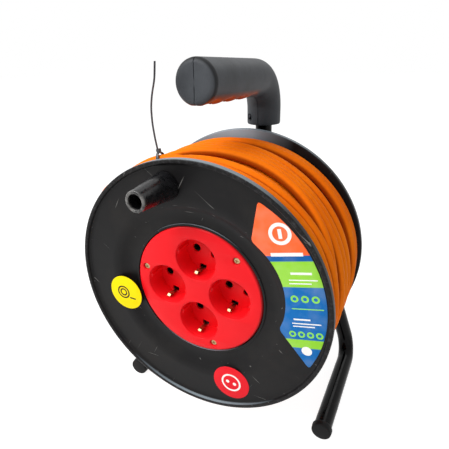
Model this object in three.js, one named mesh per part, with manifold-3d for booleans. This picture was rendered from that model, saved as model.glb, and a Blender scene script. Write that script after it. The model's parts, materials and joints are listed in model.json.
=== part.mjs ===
// Extension cord reel: a tube stand with an L-shaped grip, a free-running drum wound with
// 50 m of round orange cable, a four-socket plate in the drum's hub and a crank knob.
// Millimetres, +Z up. Every piece is drawn about the drum's axle: the drum turns about Y,
// the sockets face -Y, and the whole is then set on the floor.
import * as THREE from "three";
import { mergeVertices } from "three/addons/utils/BufferGeometryUtils.js";
import Module from "manifold-3d";

const wasm = await Module();
wasm.setup();

// ---- Driving dimensions --------------------------------------------------------------
const seatGap = 0.3;             // between pieces that touch
const runGap = 0.35;             // radial, between pieces that turn on each other

const drumWidth = 136;           // from rim crest to rim crest
const flangeRadius = 125;
const rearFlangeRadius = flangeRadius + 1.2;
const rimWidth = 6.4;            // rim, along the axle
const rimLip = 3.4;              // rim crest, across
const webThickness = 3;
const webSet = 3.4;              // web's outer face behind the rim crest
const dishRadius = 90;           // where the web starts to sink towards the hub
const dishDepth = 6;
const barrelRadius = 72;
const barrelWall = 3;

const plateRadius = 63.9;        // red socket plate
const plateThickness = 5;
const plateEdge = 2.2;           // chamfer round the plate's face
const plateSet = 7.6;            // plate's face behind the rim crest
const plateGap = 0.6;            // ring gap around the plate
const collarWall = 2;
const collarSet = 0.4;           // collar's crest behind the plate's face
const ledgeInner = 57.5;         // ledge that carries the plate's edge
const ledgeThickness = 3;

const socketSpread = 32.3;       // socket centres from the axle
const recessRadius = 19.9;
const recessMouth = 0.7;         // flare of the recess at the plate's face
const recessDepth = 19.5;
const cupWall = 1.5;
const pinSpacing = 19;
const pinHoleRadius = 2.9;
const pinTilt = THREE.MathUtils.degToRad(-12);
const earthWidth = 4.4;          // earth clip strip
const earthStrip = 0.9;
const earthReach = 3.6;          // how far a clip's tip stands into the recess
const earthTipDepth = 6;         // tip, behind the plate's face
const busWidth = 5;
const busThickness = 1.2;
const busPitch = 3;              // between the two bus bars, along the axle
const busSet = 12;               // live bus bar behind the cups
const sleeveWall = 0.7;          // pin contact sleeves
const backCoverRadius = 57.2;
const backCoverWall = 1.6;

const plateScrewSpread = 56;
const plateScrewWell = 3;        // its head's seat behind the plate's face
const plateScrewAngles = [45, 165, 285];
const screwRadius = 1.5;
const screwHeadRadius = 3;
const screwHeadHeight = 1.8;
const pilotGap = 0.15;
const pillarRadius = 4;
const plateBossRadius = 3.8;
const plateBossHeight = 8;       // behind the ledge
const pillarSpread = 62;
const pillarAngles = [20, 110, 200, 290];
const clampScrewRadius = 2;
const clampScrewHead = 3.6;
const clampScrewLength = 18;

const hubBossRadius = 22;
const ribThickness = 3;
const ribCount = 6;
const ribReach = 64;
const bushRadius = 9;
const axleRadius = 6;
const axleCollarRadius = 11;
const axleCollarWidth = 3;
const washerThickness = 1.5;
const washerRadius = 13;
const axleNutRadius = 11;
const axleNutHeight = 10;

const crankSpread = flangeRadius - 22.6;  // crank knob's axis from the axle
const crankAngle = 102.4;
const knobLength = 41.5;
const knobFootRadius = 12.8;
const knobTipRadius = 8.8;
const knobBoreRadius = 6.3;
const spigotRadius = 4.6;
const spigotHeight = 15;
const knobWasherRadius = 5.8;
const knobWasherThickness = 1;

const tubeRadius = 9.2;          // stand tube
const tubeWall = 1.5;
const standSetback = 109;        // plane of the post, behind the drum's middle
const heelSetback = 124;         // the feet's rear bends
const axleHeight = 176.1;        // axle above the floor
const footSpread = 116;          // each foot's front end from the middle plane
const heelSpread = 119.5;        // and its rear bend
const footFront = -17.5;          // front end of the foot tubes
const footTubeBend = 24;
const shoulderHeight = -46;      // cross bar, below the axle
const legLean = 0.3;             // inward run of a leg for each unit of rise
const shoulderBend = 30;
const capRadius = 10.6;
const capFlat = 10.2;            // flat under a foot cap, from the cap's axis
const capLength = 9;
const capNose = 3;

const gripRadius = 18.5;
const gripHeight = 174;          // grip's axis above the axle, at the post
const gripTilt = THREE.MathUtils.degToRad(2.3);
const gripFront = -47;
const gripBendRadius = 34;
const gripChamfer = 4.5;
const sleeveFoot = 125;          // lower end of the grip's sleeve, above the axle
const handleTubeEnd = -28;       // front end of the tube inside the grip
const fingerGrooves = 4;
const fingerPitch = 27.5;
const fingerRadius = 21;
const fingerDepth = 4.4;
const fingerFirst = -32;
const handleScrewRadius = 1.6;
const handleScrewHead = 3.2;
const handleScrewSink = 5;

const bracketWidth = 40;
const bracketHeight = 74;
const bracketThickness = 4;
const bracketBoltRadius = 3;
const bracketBoltHead = 5;
const bracketBoltOffset = 26;
const bracketNutHeight = 5;

const cableRadius = 4.25;
const loops = 12;                // loops of the outer layer
const loopSteps = 24;
const loopSides = 6;
const loopPitch = 9.3;
const wideGapAfter = [3, 8];     // loops that a wider gap follows
const jogStart = THREE.MathUtils.degToRad(232);
const jogSweep = THREE.MathUtils.degToRad(75);
const layerRadius = 119.5;       // outer layer's cable axis
const tailAngle = THREE.MathUtils.degToRad(84);

const plugRadius = 18;
const plugLength = 40;
const plugReliefLength = 25;
const plugAngle = THREE.MathUtils.degToRad(195);
const plugPinRadius = 2.4;
const plugPinLength = 19;

const tieWidth = 2.6;
const tieThickness = 0.8;
const tieHead = 5;

// ---- Materials -----------------------------------------------------------------------
function finish(color, roughness, metalness = 0) {
  return new THREE.MeshStandardMaterial({ color, roughness, metalness });
}
const blackPlastic = finish(0x2b292b, 0.5);
const gripPlastic = finish(0x3a3b40, 0.75);
const redPlastic = finish(0xf0202c, 0.4);
const blackEnamel = finish(0x141416, 0.25);
const zincSteel = finish(0xb9bcc0, 0.35, 1);
const brass = finish(0xc8a860, 0.35, 1);
const orangeSheath = finish(0xf26a12, 0.45);
const greyPlastic = finish(0x8c8f92, 0.55);
const yellowPaper = finish(0xf5e616, 0.6);
const redPaper = finish(0xe5263a, 0.6);
const labelPaper = finish(0x1a6cb0, 0.6);

// ---- Mesh tools ----------------------------------------------------------------------
// Merges shared corners, drops flat triangles and turns the faces outwards.
function closed(geometry) {
  const bare = new THREE.BufferGeometry();
  bare.setAttribute("position", geometry.getAttribute("position").clone());
  if (geometry.index) bare.setIndex(geometry.index.clone());
  const merged = mergeVertices(bare, 1e-4);
  const place = merged.getAttribute("position");
  const kept = [];
  let volume = 0;
  const [a, b, c] = [new THREE.Vector3(), new THREE.Vector3(), new THREE.Vector3()];
  for (let i = 0; i < merged.index.count; i += 3) {
    const corner = [0, 1, 2].map((k) => merged.index.getX(i + k));
    if (new Set(corner).size < 3) continue;
    kept.push(...corner);
    a.fromBufferAttribute(place, corner[0]);
    b.fromBufferAttribute(place, corner[1]);
    c.fromBufferAttribute(place, corner[2]);
    volume += a.dot(b.cross(c));
  }
  if (volume < 0) kept.reverse();
  merged.setIndex(kept);
  return merged;
}

function solid(geometry) {
  const mesh = closed(geometry);
  return new wasm.Manifold(new wasm.Mesh({
    numProp: 3,
    vertProperties: new Float32Array(mesh.getAttribute("position").array),
    triVerts: new Uint32Array(mesh.index.array),
  }));
}

function surface(manifold) {
  const mesh = manifold.getMesh();
  const geometry = new THREE.BufferGeometry();
  geometry.setAttribute("position", new THREE.BufferAttribute(mesh.vertProperties, 3));
  geometry.setIndex(new THREE.BufferAttribute(mesh.triVerts, 1));
  return geometry;
}

function cut(body, ...tools) {
  return tools.reduce((left, tool) => left.subtract(tool), body);
}

function join(body, ...others) {
  return others.reduce((whole, other) => whole.add(other), body);
}

// A turned piece about the drum's axle: [radius, y] corners of a closed outline.
function turned(outline, segments = 40) {
  const points = [...outline, outline[0]].map(([r, y]) => new THREE.Vector2(r, y));
  return new THREE.LatheGeometry(points, segments);
}

// A plain turned rod or ring about a line parallel to the axle.
function rod(radius, y0, y1, x = 0, z = 0, segments = 20) {
  const geometry = turned([[0, y0], [radius, y0], [radius, y1], [0, y1]], segments);
  return geometry.translate(x, 0, z);
}

function ring(inner, outer, y0, y1, x = 0, z = 0, segments = 24) {
  const geometry = turned([[inner, y0], [outer, y0], [outer, y1], [inner, y1]], segments);
  return geometry.translate(x, 0, z);
}

// A six-sided nut with a round bore.
function hexNut(bore, corner, y0, y1, x = 0, z = 0) {
  const outside = solid(rod(corner, y0, y1, x, z, 6));
  return surface(outside.subtract(solid(rod(bore, y0 - 1, y1 + 1, x, z, 24))));
}

function block(width, depth, height, x, y, z) {
  return new THREE.BoxGeometry(width, depth, height).translate(x, y, z);
}

// A rod along X, for the screws that cross the grip.
function crossRod(radius, x0, x1, y, z, segments = 12) {
  const geometry = new THREE.CylinderGeometry(radius, radius, x1 - x0, segments);
  return geometry.rotateZ(Math.PI / 2).translate((x0 + x1) / 2, y, z);
}

function polar(radius, degrees) {
  const angle = THREE.MathUtils.degToRad(degrees);
  return [radius * Math.cos(angle), radius * Math.sin(angle)];
}

// A path that visits its knots one by one, so that bends take more steps than straights.
class KnotPath extends THREE.Curve {
  constructor(knots) {
    super();
    this.knots = knots;
  }

  getPointAt(u) {
    return this.knots[Math.round(u * (this.knots.length - 1))].clone();
  }

  getTangentAt(u) {
    const last = this.knots.length - 1;
    const i = Math.round(u * last);
    const before = this.knots[Math.max(i - 1, 0)];
    const after = this.knots[Math.min(i + 1, last)];
    const here = this.knots[i];
    const tangent = new THREE.Vector3();
    if (i > 0) tangent.add(here.clone().sub(before).normalize());
    if (i < last) tangent.add(after.clone().sub(here).normalize());
    return tangent.normalize();
  }
}

// Corner points joined by straights, each inner corner rounded to its bend radius.
function bentLine(corners, bends, steps = 4) {
  const knots = [corners[0].clone()];
  for (let i = 1; i < corners.length - 1; i += 1) {
    const into = corners[i - 1].clone().sub(corners[i]).normalize();
    const out = corners[i + 1].clone().sub(corners[i]).normalize();
    const half = into.angleTo(out) / 2;
    const reach = bends[i - 1] / Math.tan(half);
    const middle = into.clone().add(out).normalize();
    const centre = corners[i].clone().addScaledVector(middle, bends[i - 1] / Math.sin(half));
    const first = corners[i].clone().addScaledVector(into, reach).sub(centre);
    const last = corners[i].clone().addScaledVector(out, reach).sub(centre);
    const sweep = first.angleTo(last);
    for (let k = 0; k <= steps; k += 1) {
      const t = k / steps;
      const point = first.clone().multiplyScalar(Math.sin((1 - t) * sweep));
      point.addScaledVector(last, Math.sin(t * sweep)).divideScalar(Math.sin(sweep));
      knots.push(point.add(centre));
    }
  }
  knots.push(corners[corners.length - 1].clone());
  return knots;
}

function circle(radius, sides) {
  const shape = new THREE.Shape();
  for (let i = 0; i < sides; i += 1) {
    const angle = ((i + 0.5) / sides) * 2 * Math.PI;
    const [x, y] = [radius * Math.cos(angle), radius * Math.sin(angle)];
    if (i === 0) shape.moveTo(x, y);
    else shape.lineTo(x, y);
  }
  shape.closePath();
  return shape;
}

function tubeAlong(knots, radius, sides, boreRadius = 0) {
  const shape = circle(radius, sides);
  if (boreRadius > 0) shape.holes.push(circle(boreRadius, sides));
  const path = new KnotPath(knots);
  return new THREE.ExtrudeGeometry(shape, { steps: knots.length - 1, extrudePath: path });
}

// A flat outline in the XZ plane, given its thickness along the axle.
function plateShape(outline, y0, y1, holes = []) {
  const shape = new THREE.Shape(outline.map(([x, z]) => new THREE.Vector2(x, z)));
  for (const hole of holes) {
    shape.holes.push(new THREE.Path(hole.map(([x, z]) => new THREE.Vector2(x, z))));
  }
  const geometry = new THREE.ExtrudeGeometry(shape, { depth: y1 - y0, bevelEnabled: false });
  return geometry.rotateX(Math.PI / 2).translate(0, y1, 0);
}

const reel = new THREE.Group();
const stand = new THREE.Group();
const drum = new THREE.Group();
const cord = new THREE.Group();
reel.add(stand, drum, cord);

function piece(group, name, geometry, material) {
  const mesh = new THREE.Mesh(closed(geometry), material);
  mesh.name = name;
  group.add(mesh);
}

// ---- Places along the axle -----------------------------------------------------------
const crest = drumWidth / 2;
const webFace = crest - webSet;
const webBack = webFace - webThickness;
const dishFace = webFace - dishDepth;
const dishBack = webBack - dishDepth;
const dishFoot = barrelRadius + 1;
const plateFace = -(crest - plateSet);
const plateBack = plateFace + plateThickness;
const collarInner = plateRadius + plateGap;
const collarOuter = collarInner + collarWall;
const barrelEnd = dishBack - seatGap;
const ledgeFront = plateBack + seatGap;
const ledgeBack = ledgeFront + ledgeThickness;
const barrelInner = barrelRadius - barrelWall;
const bracketFront = standSetback - tubeRadius - seatGap - bracketThickness;
const collarFront = bracketFront - seatGap - axleCollarWidth;
const rearWasherFront = collarFront - seatGap - washerThickness;
const hubEnd = rearWasherFront - seatGap;
const boreRadius = bushRadius + seatGap;

// ---- Flanges -------------------------------------------------------------------------
// Both are moulded discs with a raised rim and a dished middle. Corners run as [radius, y]
// for the rear one; the front one is its mirror image with a collar in place of the hub.
function flangeOutside(radius) {
  const lip = radius - rimLip;
  return [
    [radius, crest - rimWidth], [radius, crest - 1], [radius - 1, crest], [lip + 0.6, crest],
    [lip, crest - 0.7], [lip - 0.6, webFace + 0.8], [lip - 1.6, webFace], [dishRadius, webFace],
    [dishRadius - 6, webFace - dishDepth * 0.22],
    [(dishRadius + dishFoot) / 2 - 1, webFace - dishDepth * 0.68],
    [dishFoot, dishFace],
  ];
}

function flangeInside(radius) {
  return [
    [dishFoot, dishBack], [(dishRadius + dishFoot) / 2, webBack - dishDepth * 0.6],
    [dishRadius - 3, webBack], [radius - 2, webBack],
  ];
}

function pilot(radius, angle, spread, y0, y1) {
  const [x, z] = polar(spread, angle);
  return solid(rod(radius, y0, y1, x, z, 12));
}

function frontFlange() {
  const outside = flangeOutside(flangeRadius).map(([r, y]) => [r, -y]);
  const inside = flangeInside(flangeRadius).map(([r, y]) => [r, -y]);
  const collar = [
    [collarOuter, -dishFace], [collarOuter, plateFace + collarSet],
    [collarInner, plateFace + collarSet], [collarInner, ledgeFront],
    [ledgeInner, ledgeFront], [ledgeInner, ledgeBack], [barrelInner - seatGap, ledgeBack],
    [barrelInner - seatGap, -dishBack],
  ];
  let body = solid(turned([...outside, ...collar, ...inside]));
  const pillarEnd = barrelEnd - 2 * seatGap;
  for (const angle of pillarAngles) {
    body = body.add(pilot(pillarRadius, angle, pillarSpread, ledgeBack - 1, pillarEnd));
  }
  for (const angle of plateScrewAngles) {
    const [x, z] = polar(plateScrewSpread, angle);
    const boss = solid(rod(
      plateBossRadius, ledgeFront, ledgeBack + plateBossHeight, x, z, 12,
    ));
    body = body.add(boss);
  }
  const [x, z] = polar(crankSpread, crankAngle);
  body = body.add(solid(rod(spigotRadius, -webFace - spigotHeight, -webFace + 1, x, z, 24)));
  const pilots = [
    ...pillarAngles.map((angle) => pilot(
      clampScrewRadius + pilotGap, angle, pillarSpread,
      pillarEnd - clampScrewLength, pillarEnd + 1,
    )),
    ...plateScrewAngles.map((angle) => pilot(
      screwRadius + pilotGap, angle, plateScrewSpread, ledgeFront - 1,
      ledgeBack + plateBossHeight + 1,
    )),
    solid(rod(screwRadius + pilotGap, -webFace - spigotHeight - 1, -webFace - 2, x, z, 12)),
  ];
  return surface(cut(body, ...pilots));
}

function rearFlange() {
  const hub = [
    [hubBossRadius, dishFace], [hubBossRadius, hubEnd - 1.5],
    [hubBossRadius - 1.5, hubEnd], [boreRadius, hubEnd], [boreRadius, dishBack],
  ];
  const outside = flangeOutside(rearFlangeRadius);
  let body = solid(turned([...outside, ...hub, ...flangeInside(rearFlangeRadius)]));
  for (let i = 0; i < ribCount; i += 1) {
    const wedge = new THREE.Shape([
      new THREE.Vector2(hubBossRadius - 2, dishFace - 1),
      new THREE.Vector2(ribReach, dishFace - 1),
      new THREE.Vector2(ribReach, dishFace + 2),
      new THREE.Vector2(hubBossRadius + 3, hubEnd - 6),
      new THREE.Vector2(hubBossRadius - 2, hubEnd - 6),
    ]);
    const rib = new THREE.ExtrudeGeometry(wedge, { depth: ribThickness, bevelEnabled: false });
    rib.translate(0, 0, -ribThickness / 2);
    body = body.add(solid(rib.rotateY(((i + 0.5) * 2 * Math.PI) / ribCount)));
  }
  const holes = pillarAngles.map((angle) => pilot(
    clampScrewRadius + pilotGap, angle, pillarSpread, dishBack - 1, hubEnd,
  ));
  return surface(cut(body, ...holes));
}

piece(drum, "front_flange", frontFlange(), blackPlastic);
piece(drum, "rear_flange", rearFlange(), blackPlastic);

// ---- Barrel with its cable entry --------------------------------------------------------
const entryAngle = 245;
const entryPlace = 20;
const entryClearance = 0.4;

function radialRod(radius, r0, r1, degrees, y, segments = 16) {
  const geometry = new THREE.CylinderGeometry(radius, radius, r1 - r0, segments);
  geometry.rotateZ(Math.PI / 2).translate((r0 + r1) / 2, y, 0);
  return geometry.rotateY(-THREE.MathUtils.degToRad(degrees));
}

const barrelShell = solid(ring(barrelInner, barrelRadius, -barrelEnd, barrelEnd, 0, 0, 48));
const entryHole = solid(radialRod(
  cableRadius + entryClearance, barrelInner - 3, barrelRadius + 3, entryAngle, entryPlace,
));
piece(drum, "drum_barrel", surface(barrelShell.subtract(entryHole)), blackPlastic);

pillarAngles.forEach((angle, i) => {
  const [x, z] = polar(pillarSpread, angle);
  const seat = dishFace + seatGap;
  const screw = turned([
    [0, seat - clampScrewLength], [clampScrewRadius, seat - clampScrewLength + 1],
    [clampScrewRadius, seat], [clampScrewHead, seat], [clampScrewHead, seat + 1.6],
    [clampScrewHead - 1.2, seat + 2.4], [0, seat + 2.4],
  ], 12);
  piece(drum, `drum_screw_${i + 1}`, screw.translate(x, 0, z), zincSteel);
});

// ---- Socket plate and what stands behind it ---------------------------------------------
const cupRadius = recessRadius + cupWall;
const recessFloor = plateFace + recessDepth;
const cupBack = recessFloor + 2;
const socketPlaces = [0, 90, 180, 270].map((angle) => polar(socketSpread, angle));
const socketNames = ["right", "top", "left", "bottom"];

function pinOffset(side) {
  const reach = (side * pinSpacing) / 2;
  return [reach * Math.cos(pinTilt), reach * Math.sin(pinTilt)];
}

function earthTurn(geometry, x, z) {
  return geometry.rotateY(-pinTilt).translate(x, 0, z);
}

// The round front plate, open over each socket.
function socketPlate() {
  const edge = 1.2;
  let body = solid(turned([
    [0, plateFace], [plateRadius - plateEdge, plateFace], [plateRadius, plateFace + plateEdge],
    [plateRadius, plateBack], [0, plateBack],
  ], 48));
  for (const [x, z] of socketPlaces) {
    const mouth = turned([
      [0, plateFace - 1], [recessRadius + recessMouth, plateFace - 1],
      [recessRadius + recessMouth, plateFace], [recessRadius, plateFace + edge],
      [recessRadius, plateBack + 1], [0, plateBack + 1],
    ], 24);
    body = body.subtract(solid(mouth.translate(x, 0, z)));
  }
  for (const angle of plateScrewAngles) {
    const [x, z] = polar(plateScrewSpread, angle);
    const well = turned([
      [0, plateFace - 1], [screwHeadRadius + 0.4, plateFace - 1],
      [screwHeadRadius + 0.4, plateFace + plateScrewWell],
      [screwRadius + pilotGap, plateFace + plateScrewWell],
      [screwRadius + pilotGap, plateBack + 1], [0, plateBack + 1],
    ], 16);
    body = body.subtract(solid(well.translate(x, 0, z)));
  }
  return surface(body);
}

// A socket's cup stands behind the plate's opening: round wall, floor with two pin holes,
// and a slot on either side for the earth clip.
function socketCup(x, z) {
  const cupFront = plateBack + seatGap;
  let body = solid(turned([
    [recessRadius, cupFront], [cupRadius, cupFront], [cupRadius, cupBack],
    [0, cupBack], [0, recessFloor], [recessRadius, recessFloor],
  ], 24).translate(x, 0, z));
  const slotLength = recessFloor + 1 - cupFront;
  for (const side of [-1, 1]) {
    const [dx, dz] = pinOffset(side);
    const hole = rod(pinHoleRadius, recessFloor - 1, cupBack + 1, x + dx, z + dz, 12);
    const slot = block(
      earthWidth + 1, slotLength + 1, cupWall + 3,
      0, cupFront - 1 + (slotLength + 1) / 2, side * (recessRadius + cupWall / 2),
    );
    body = cut(body, solid(hole), solid(earthTurn(slot, x, z)));
  }
  return surface(body);
}

// A bent strip: it lies behind the cup and its two arms reach forward through the slots.
function earthClip() {
  const armOut = cupRadius + seatGap + earthStrip;
  const armIn = armOut - earthStrip;
  const back = cupBack + seatGap;
  const tip = recessRadius - earthReach;
  const front = plateFace + earthTipDepth;
  const half = [
    [0, back + earthStrip], [armOut, back + earthStrip], [armOut, front],
    [tip, front + 3.4], [tip, front + 4.6], [armIn, front + 1.6],
    [armIn, back], [0, back],
  ];
  const outline = [...half.slice(1, 7), ...half.slice(1, 7).reverse().map(([z, y]) => [-z, y])];
  const shape = new THREE.Shape(outline.map(([z, y]) => new THREE.Vector2(z, y)));
  const strip = new THREE.ExtrudeGeometry(shape, { depth: earthWidth, bevelEnabled: false });
  strip.translate(0, 0, -earthWidth / 2);
  return strip.rotateY(-Math.PI / 2);
}

piece(drum, "socket_plate", socketPlate(), redPlastic);
socketPlaces.forEach(([x, z], i) => {
  piece(drum, `socket_cup_${socketNames[i]}`, socketCup(x, z), redPlastic);
  piece(drum, `earth_clip_${socketNames[i]}`, earthTurn(earthClip(), x, z), brass);
});

// One square frame of brass strip joins the four pin sleeves of a pole; the sleeves reach
// forward to the backs of the cups.
function busBar(side, y0) {
  const [dx, dz] = pinOffset(side);
  const corner = (reach) => socketPlaces.map(([x, z]) => {
    const stretch = 1 + reach / socketSpread;
    return [x * stretch + dx, z * stretch + dz];
  });
  const frame = plateShape(corner(busWidth), y0, y0 + busThickness, [corner(-busWidth / 3)]);
  const sleeve = (radius, y1) => socketPlaces.map(([x, z]) => {
    return solid(rod(radius, cupBack + y1, y0 + busThickness + y1, x + dx, z + dz, 10));
  });
  const outside = join(solid(frame), ...sleeve(pinHoleRadius + sleeveWall, seatGap));
  return surface(cut(outside, ...sleeve(pinHoleRadius, 1), ...sleeve(pinHoleRadius, -1)));
}

const busFront = cupBack + busSet;
piece(drum, "live_bus_bar", busBar(-1, busFront), brass);
piece(drum, "neutral_bus_bar", busBar(1, busFront + busPitch), brass);

const coverFront = ledgeBack + plateBossHeight + seatGap;
const coverBack = busFront + busPitch + busThickness + 2.5 + backCoverWall;
const coverCup = turned([
  [0, coverBack - backCoverWall], [backCoverRadius - backCoverWall, coverBack - backCoverWall],
  [backCoverRadius - backCoverWall, coverFront], [backCoverRadius, coverFront],
  [backCoverRadius, coverBack], [0, coverBack],
]);
const coverHole = solid(rod(screwRadius + pilotGap, coverBack - 4, coverBack + 1, 0, 0, 12));
piece(drum, "socket_back_cover", surface(solid(coverCup).subtract(coverHole)), greyPlastic);

function panScrew(y, toward, length, headRadius = screwHeadRadius, shank = screwRadius) {
  const at = (distance) => y + toward * distance;
  return turned([
    [0, at(-screwHeadHeight)], [headRadius * 0.6, at(-screwHeadHeight)],
    [headRadius, at(-screwHeadHeight * 0.4)], [headRadius, y], [shank, y],
    [shank, at(length)], [0, at(length)],
  ], 12);
}

plateScrewAngles.forEach((angle, i) => {
  const [x, z] = polar(plateScrewSpread, angle);
  const screw = panScrew(plateFace + plateScrewWell - seatGap, 1, 10);
  piece(drum, `plate_screw_${i + 1}`, screw.translate(x, 0, z), brass);
});

// ---- Terminal block, cable clamp and the cable's inner end --------------------------------
const terminalWidth = 30;
const terminalDepth = 16;
const terminalHeight = 14;
const terminalPlace = coverBack + seatGap + terminalDepth / 2;
const leadInner = terminalHeight / 2 + seatGap;
const clampInner = 34;
const clampOuter = 52;
const clampWidth = 20;

const terminal = block(terminalHeight, terminalDepth, terminalWidth, 0, terminalPlace, 0);
terminal.rotateY(-THREE.MathUtils.degToRad(entryAngle));
piece(drum, "terminal_block", terminal, greyPlastic);

function clampHalf(front) {
  const depth = entryPlace - (coverBack + seatGap);
  const y = front ? entryPlace - seatGap / 2 - depth / 2 : entryPlace + seatGap / 2 + 4;
  const body = block(
    clampOuter - clampInner, front ? depth - seatGap : 8, clampWidth,
    (clampInner + clampOuter) / 2, y, 0,
  );
  body.rotateY(-THREE.MathUtils.degToRad(entryAngle));
  const bed = radialRod(
    cableRadius + seatGap, clampInner - 1, clampOuter + 1, entryAngle, entryPlace,
  );
  return surface(solid(body).subtract(solid(bed)));
}

piece(drum, "cable_clamp_base", clampHalf(true), greyPlastic);
piece(drum, "cable_clamp_cap", clampHalf(false), greyPlastic);
const coreInner = barrelRadius + seatGap;
piece(
  cord, "cable_inner_end",
  radialRod(cableRadius, leadInner, coreInner - seatGap, entryAngle, entryPlace, 12),
  orangeSheath,
);

// ---- Axle, bush, washers and nut ----------------------------------------------------------
const axleFront = dishBack - seatGap - washerThickness - seatGap - axleNutHeight - 2;
const axle = turned([
  [0, axleFront], [axleRadius - 1, axleFront], [axleRadius, axleFront + 1],
  [axleRadius, collarFront], [axleCollarRadius, collarFront],
  [axleCollarRadius, collarFront + axleCollarWidth], [axleRadius, collarFront + axleCollarWidth],
  [axleRadius, bracketFront + bracketThickness - 0.4],
  [0, bracketFront + bracketThickness - 0.4],
], 24);
piece(stand, "axle", axle, zincSteel);
const axleHole = axleRadius + runGap;
piece(
  drum, "hub_bush", ring(axleHole, bushRadius, dishBack + 0.2, hubEnd - 0.2), brass,
);
piece(
  stand, "rear_washer",
  ring(axleHole, washerRadius, rearWasherFront, rearWasherFront + washerThickness), zincSteel,
);
const frontWasherBack = dishBack - seatGap;
piece(
  stand, "front_washer",
  ring(axleHole, washerRadius, frontWasherBack - washerThickness, frontWasherBack), zincSteel,
);
const nutBack = frontWasherBack - washerThickness - seatGap;
const axleNut = hexNut(axleRadius + 0.1, axleNutRadius, nutBack - axleNutHeight, nutBack);
piece(stand, "axle_nut", axleNut, zincSteel);

// ---- Crank knob -----------------------------------------------------------------------
const [crankX, crankZ] = polar(crankSpread, crankAngle);
const knobFoot = -webFace - 0.5;
const spigotEnd = -webFace - spigotHeight;
const shoulder = spigotEnd + 0.4;
const knobTip = knobFoot - knobLength;
const knobBore = spigotRadius + runGap;
const knob = turned([
  [knobBore, knobFoot], [knobFootRadius, knobFoot], [knobFootRadius, knobFoot - 2],
  [knobFootRadius - 1.2, knobFoot - 9], [knobTipRadius + 0.5, knobTip + 6],
  [knobTipRadius, knobTip + 1], [knobTipRadius - 0.8, knobTip], [knobBoreRadius, knobTip],
  [knobBoreRadius + 0.6, shoulder], [knobBore, shoulder],
], 24);
piece(drum, "crank_knob", knob.translate(crankX, 0, crankZ), blackPlastic);
const knobWasher = ring(
  screwRadius + pilotGap, knobWasherRadius, spigotEnd - 0.1 - knobWasherThickness,
  spigotEnd - 0.1, crankX, crankZ, 16,
);
piece(drum, "knob_washer", knobWasher, zincSteel);
const knobScrew = panScrew(spigotEnd - 0.2 - knobWasherThickness, 1, spigotHeight - 4);
piece(drum, "knob_screw", knobScrew.translate(crankX, 0, crankZ), zincSteel);

// ---- Stickers, left plain ----------------------------------------------------------------
const stickerThickness = 0.3;
const stickerFace = -webFace - 0.05;
const stickerRadius = 18.5;
const stickerEdge = 9.2;         // from the red sticker's edge to the flange's
const lengthStickerSpread = 81.6;
const lengthStickerAngle = 193.1;
const powerStickerAngle = 290.8;
function sticker(spread, angle) {
  const [x, z] = polar(spread, angle);
  return rod(stickerRadius, stickerFace - stickerThickness, stickerFace, x, z, 28);
}
const powerStickerSpread = flangeRadius - stickerRadius - stickerEdge;
piece(drum, "length_sticker", sticker(lengthStickerSpread, lengthStickerAngle), yellowPaper);
piece(drum, "power_sticker", sticker(powerStickerSpread, powerStickerAngle), redPaper);

function arcPoints([centreX, centreZ], radius, from, to, steps) {
  return Array.from({ length: steps + 1 }, (_, i) => {
    const [x, z] = polar(radius, from + ((to - from) * i) / steps);
    return [centreX + x, centreZ + z];
  });
}
// The label's outer edge runs inside the flange's lip, its inner edge round the dish; both
// ends are cut off slanting and have rounded corners.
const labelOuterCentre = [13.2, 2.4];
const labelOuterRadius = flangeRadius - 19;
const labelInnerCentre = [22, 9.1];
const labelInnerRadius = dishRadius - 27.1;
const labelOutline = [
  ...arcPoints(labelOuterCentre, labelOuterRadius, -22.9, 60, 14),
  [61.8, 96.6], [59.3, 94.6], [54.9, 65.5], [56.1, 61.2],
  ...arcPoints(labelInnerCentre, labelInnerRadius, 50, -12.6, 12),
  [81.1, -11.2], [82.3, -16.3], [105.2, -43.2], [108.4, -43.6],
];
piece(
  drum, "side_label",
  plateShape(labelOutline, stickerFace - stickerThickness, stickerFace), labelPaper,
);

// ---- Stand: foot tube, post, bracket ------------------------------------------------------
const footAxisFront = -(axleHeight - capFlat);
const footRest = -(axleHeight - tubeRadius * Math.cos(Math.PI / 12));
const footRun = heelSetback - footFront;
const footAxisRear = footAxisFront
  + ((footRest - footAxisFront) * footRun) / (footRun - footTubeBend);
const shoulderSpread = heelSpread - legLean * (shoulderHeight - footAxisRear);
const V = (x, y, z) => new THREE.Vector3(x, y, z);
const footCorners = [-1, 1].map((side) => [
  V(side * footSpread, footFront, footAxisFront),
  V(side * heelSpread, heelSetback, footAxisRear),
  V(side * shoulderSpread, standSetback, shoulderHeight),
]);
const footKnots = bentLine(
  [...footCorners[0], ...footCorners[1].reverse()],
  [footTubeBend, shoulderBend, shoulderBend, footTubeBend],
);
piece(stand, "foot_tube", tubeAlong(footKnots, tubeRadius, 12, tubeRadius - tubeWall), blackEnamel);

const gripRise = (y) => gripHeight + (standSetback - y) * Math.tan(gripTilt);
const postFoot = shoulderHeight + tubeRadius + seatGap;
function handleKnots(frontEnd, foot, steps) {
  return bentLine([
    V(0, standSetback, foot), V(0, standSetback, gripHeight), V(0, frontEnd, gripRise(frontEnd)),
  ], [gripBendRadius], steps);
}
const postTube = solid(tubeAlong(
  handleKnots(handleTubeEnd, postFoot, 7), tubeRadius, 12, tubeRadius - tubeWall,
));
const boltHeights = [-1, 1].map((side) => side * bracketBoltOffset);
const boltBack = standSetback + tubeRadius + bracketNutHeight + 1.5;
const boltHoles = boltHeights.map((z) => solid(
  rod(bracketBoltRadius + 0.3, bracketFront - 1, boltBack + 1, 0, z, 16),
));
piece(stand, "post_tube", surface(cut(postTube, ...boltHoles)), blackEnamel);

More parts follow.
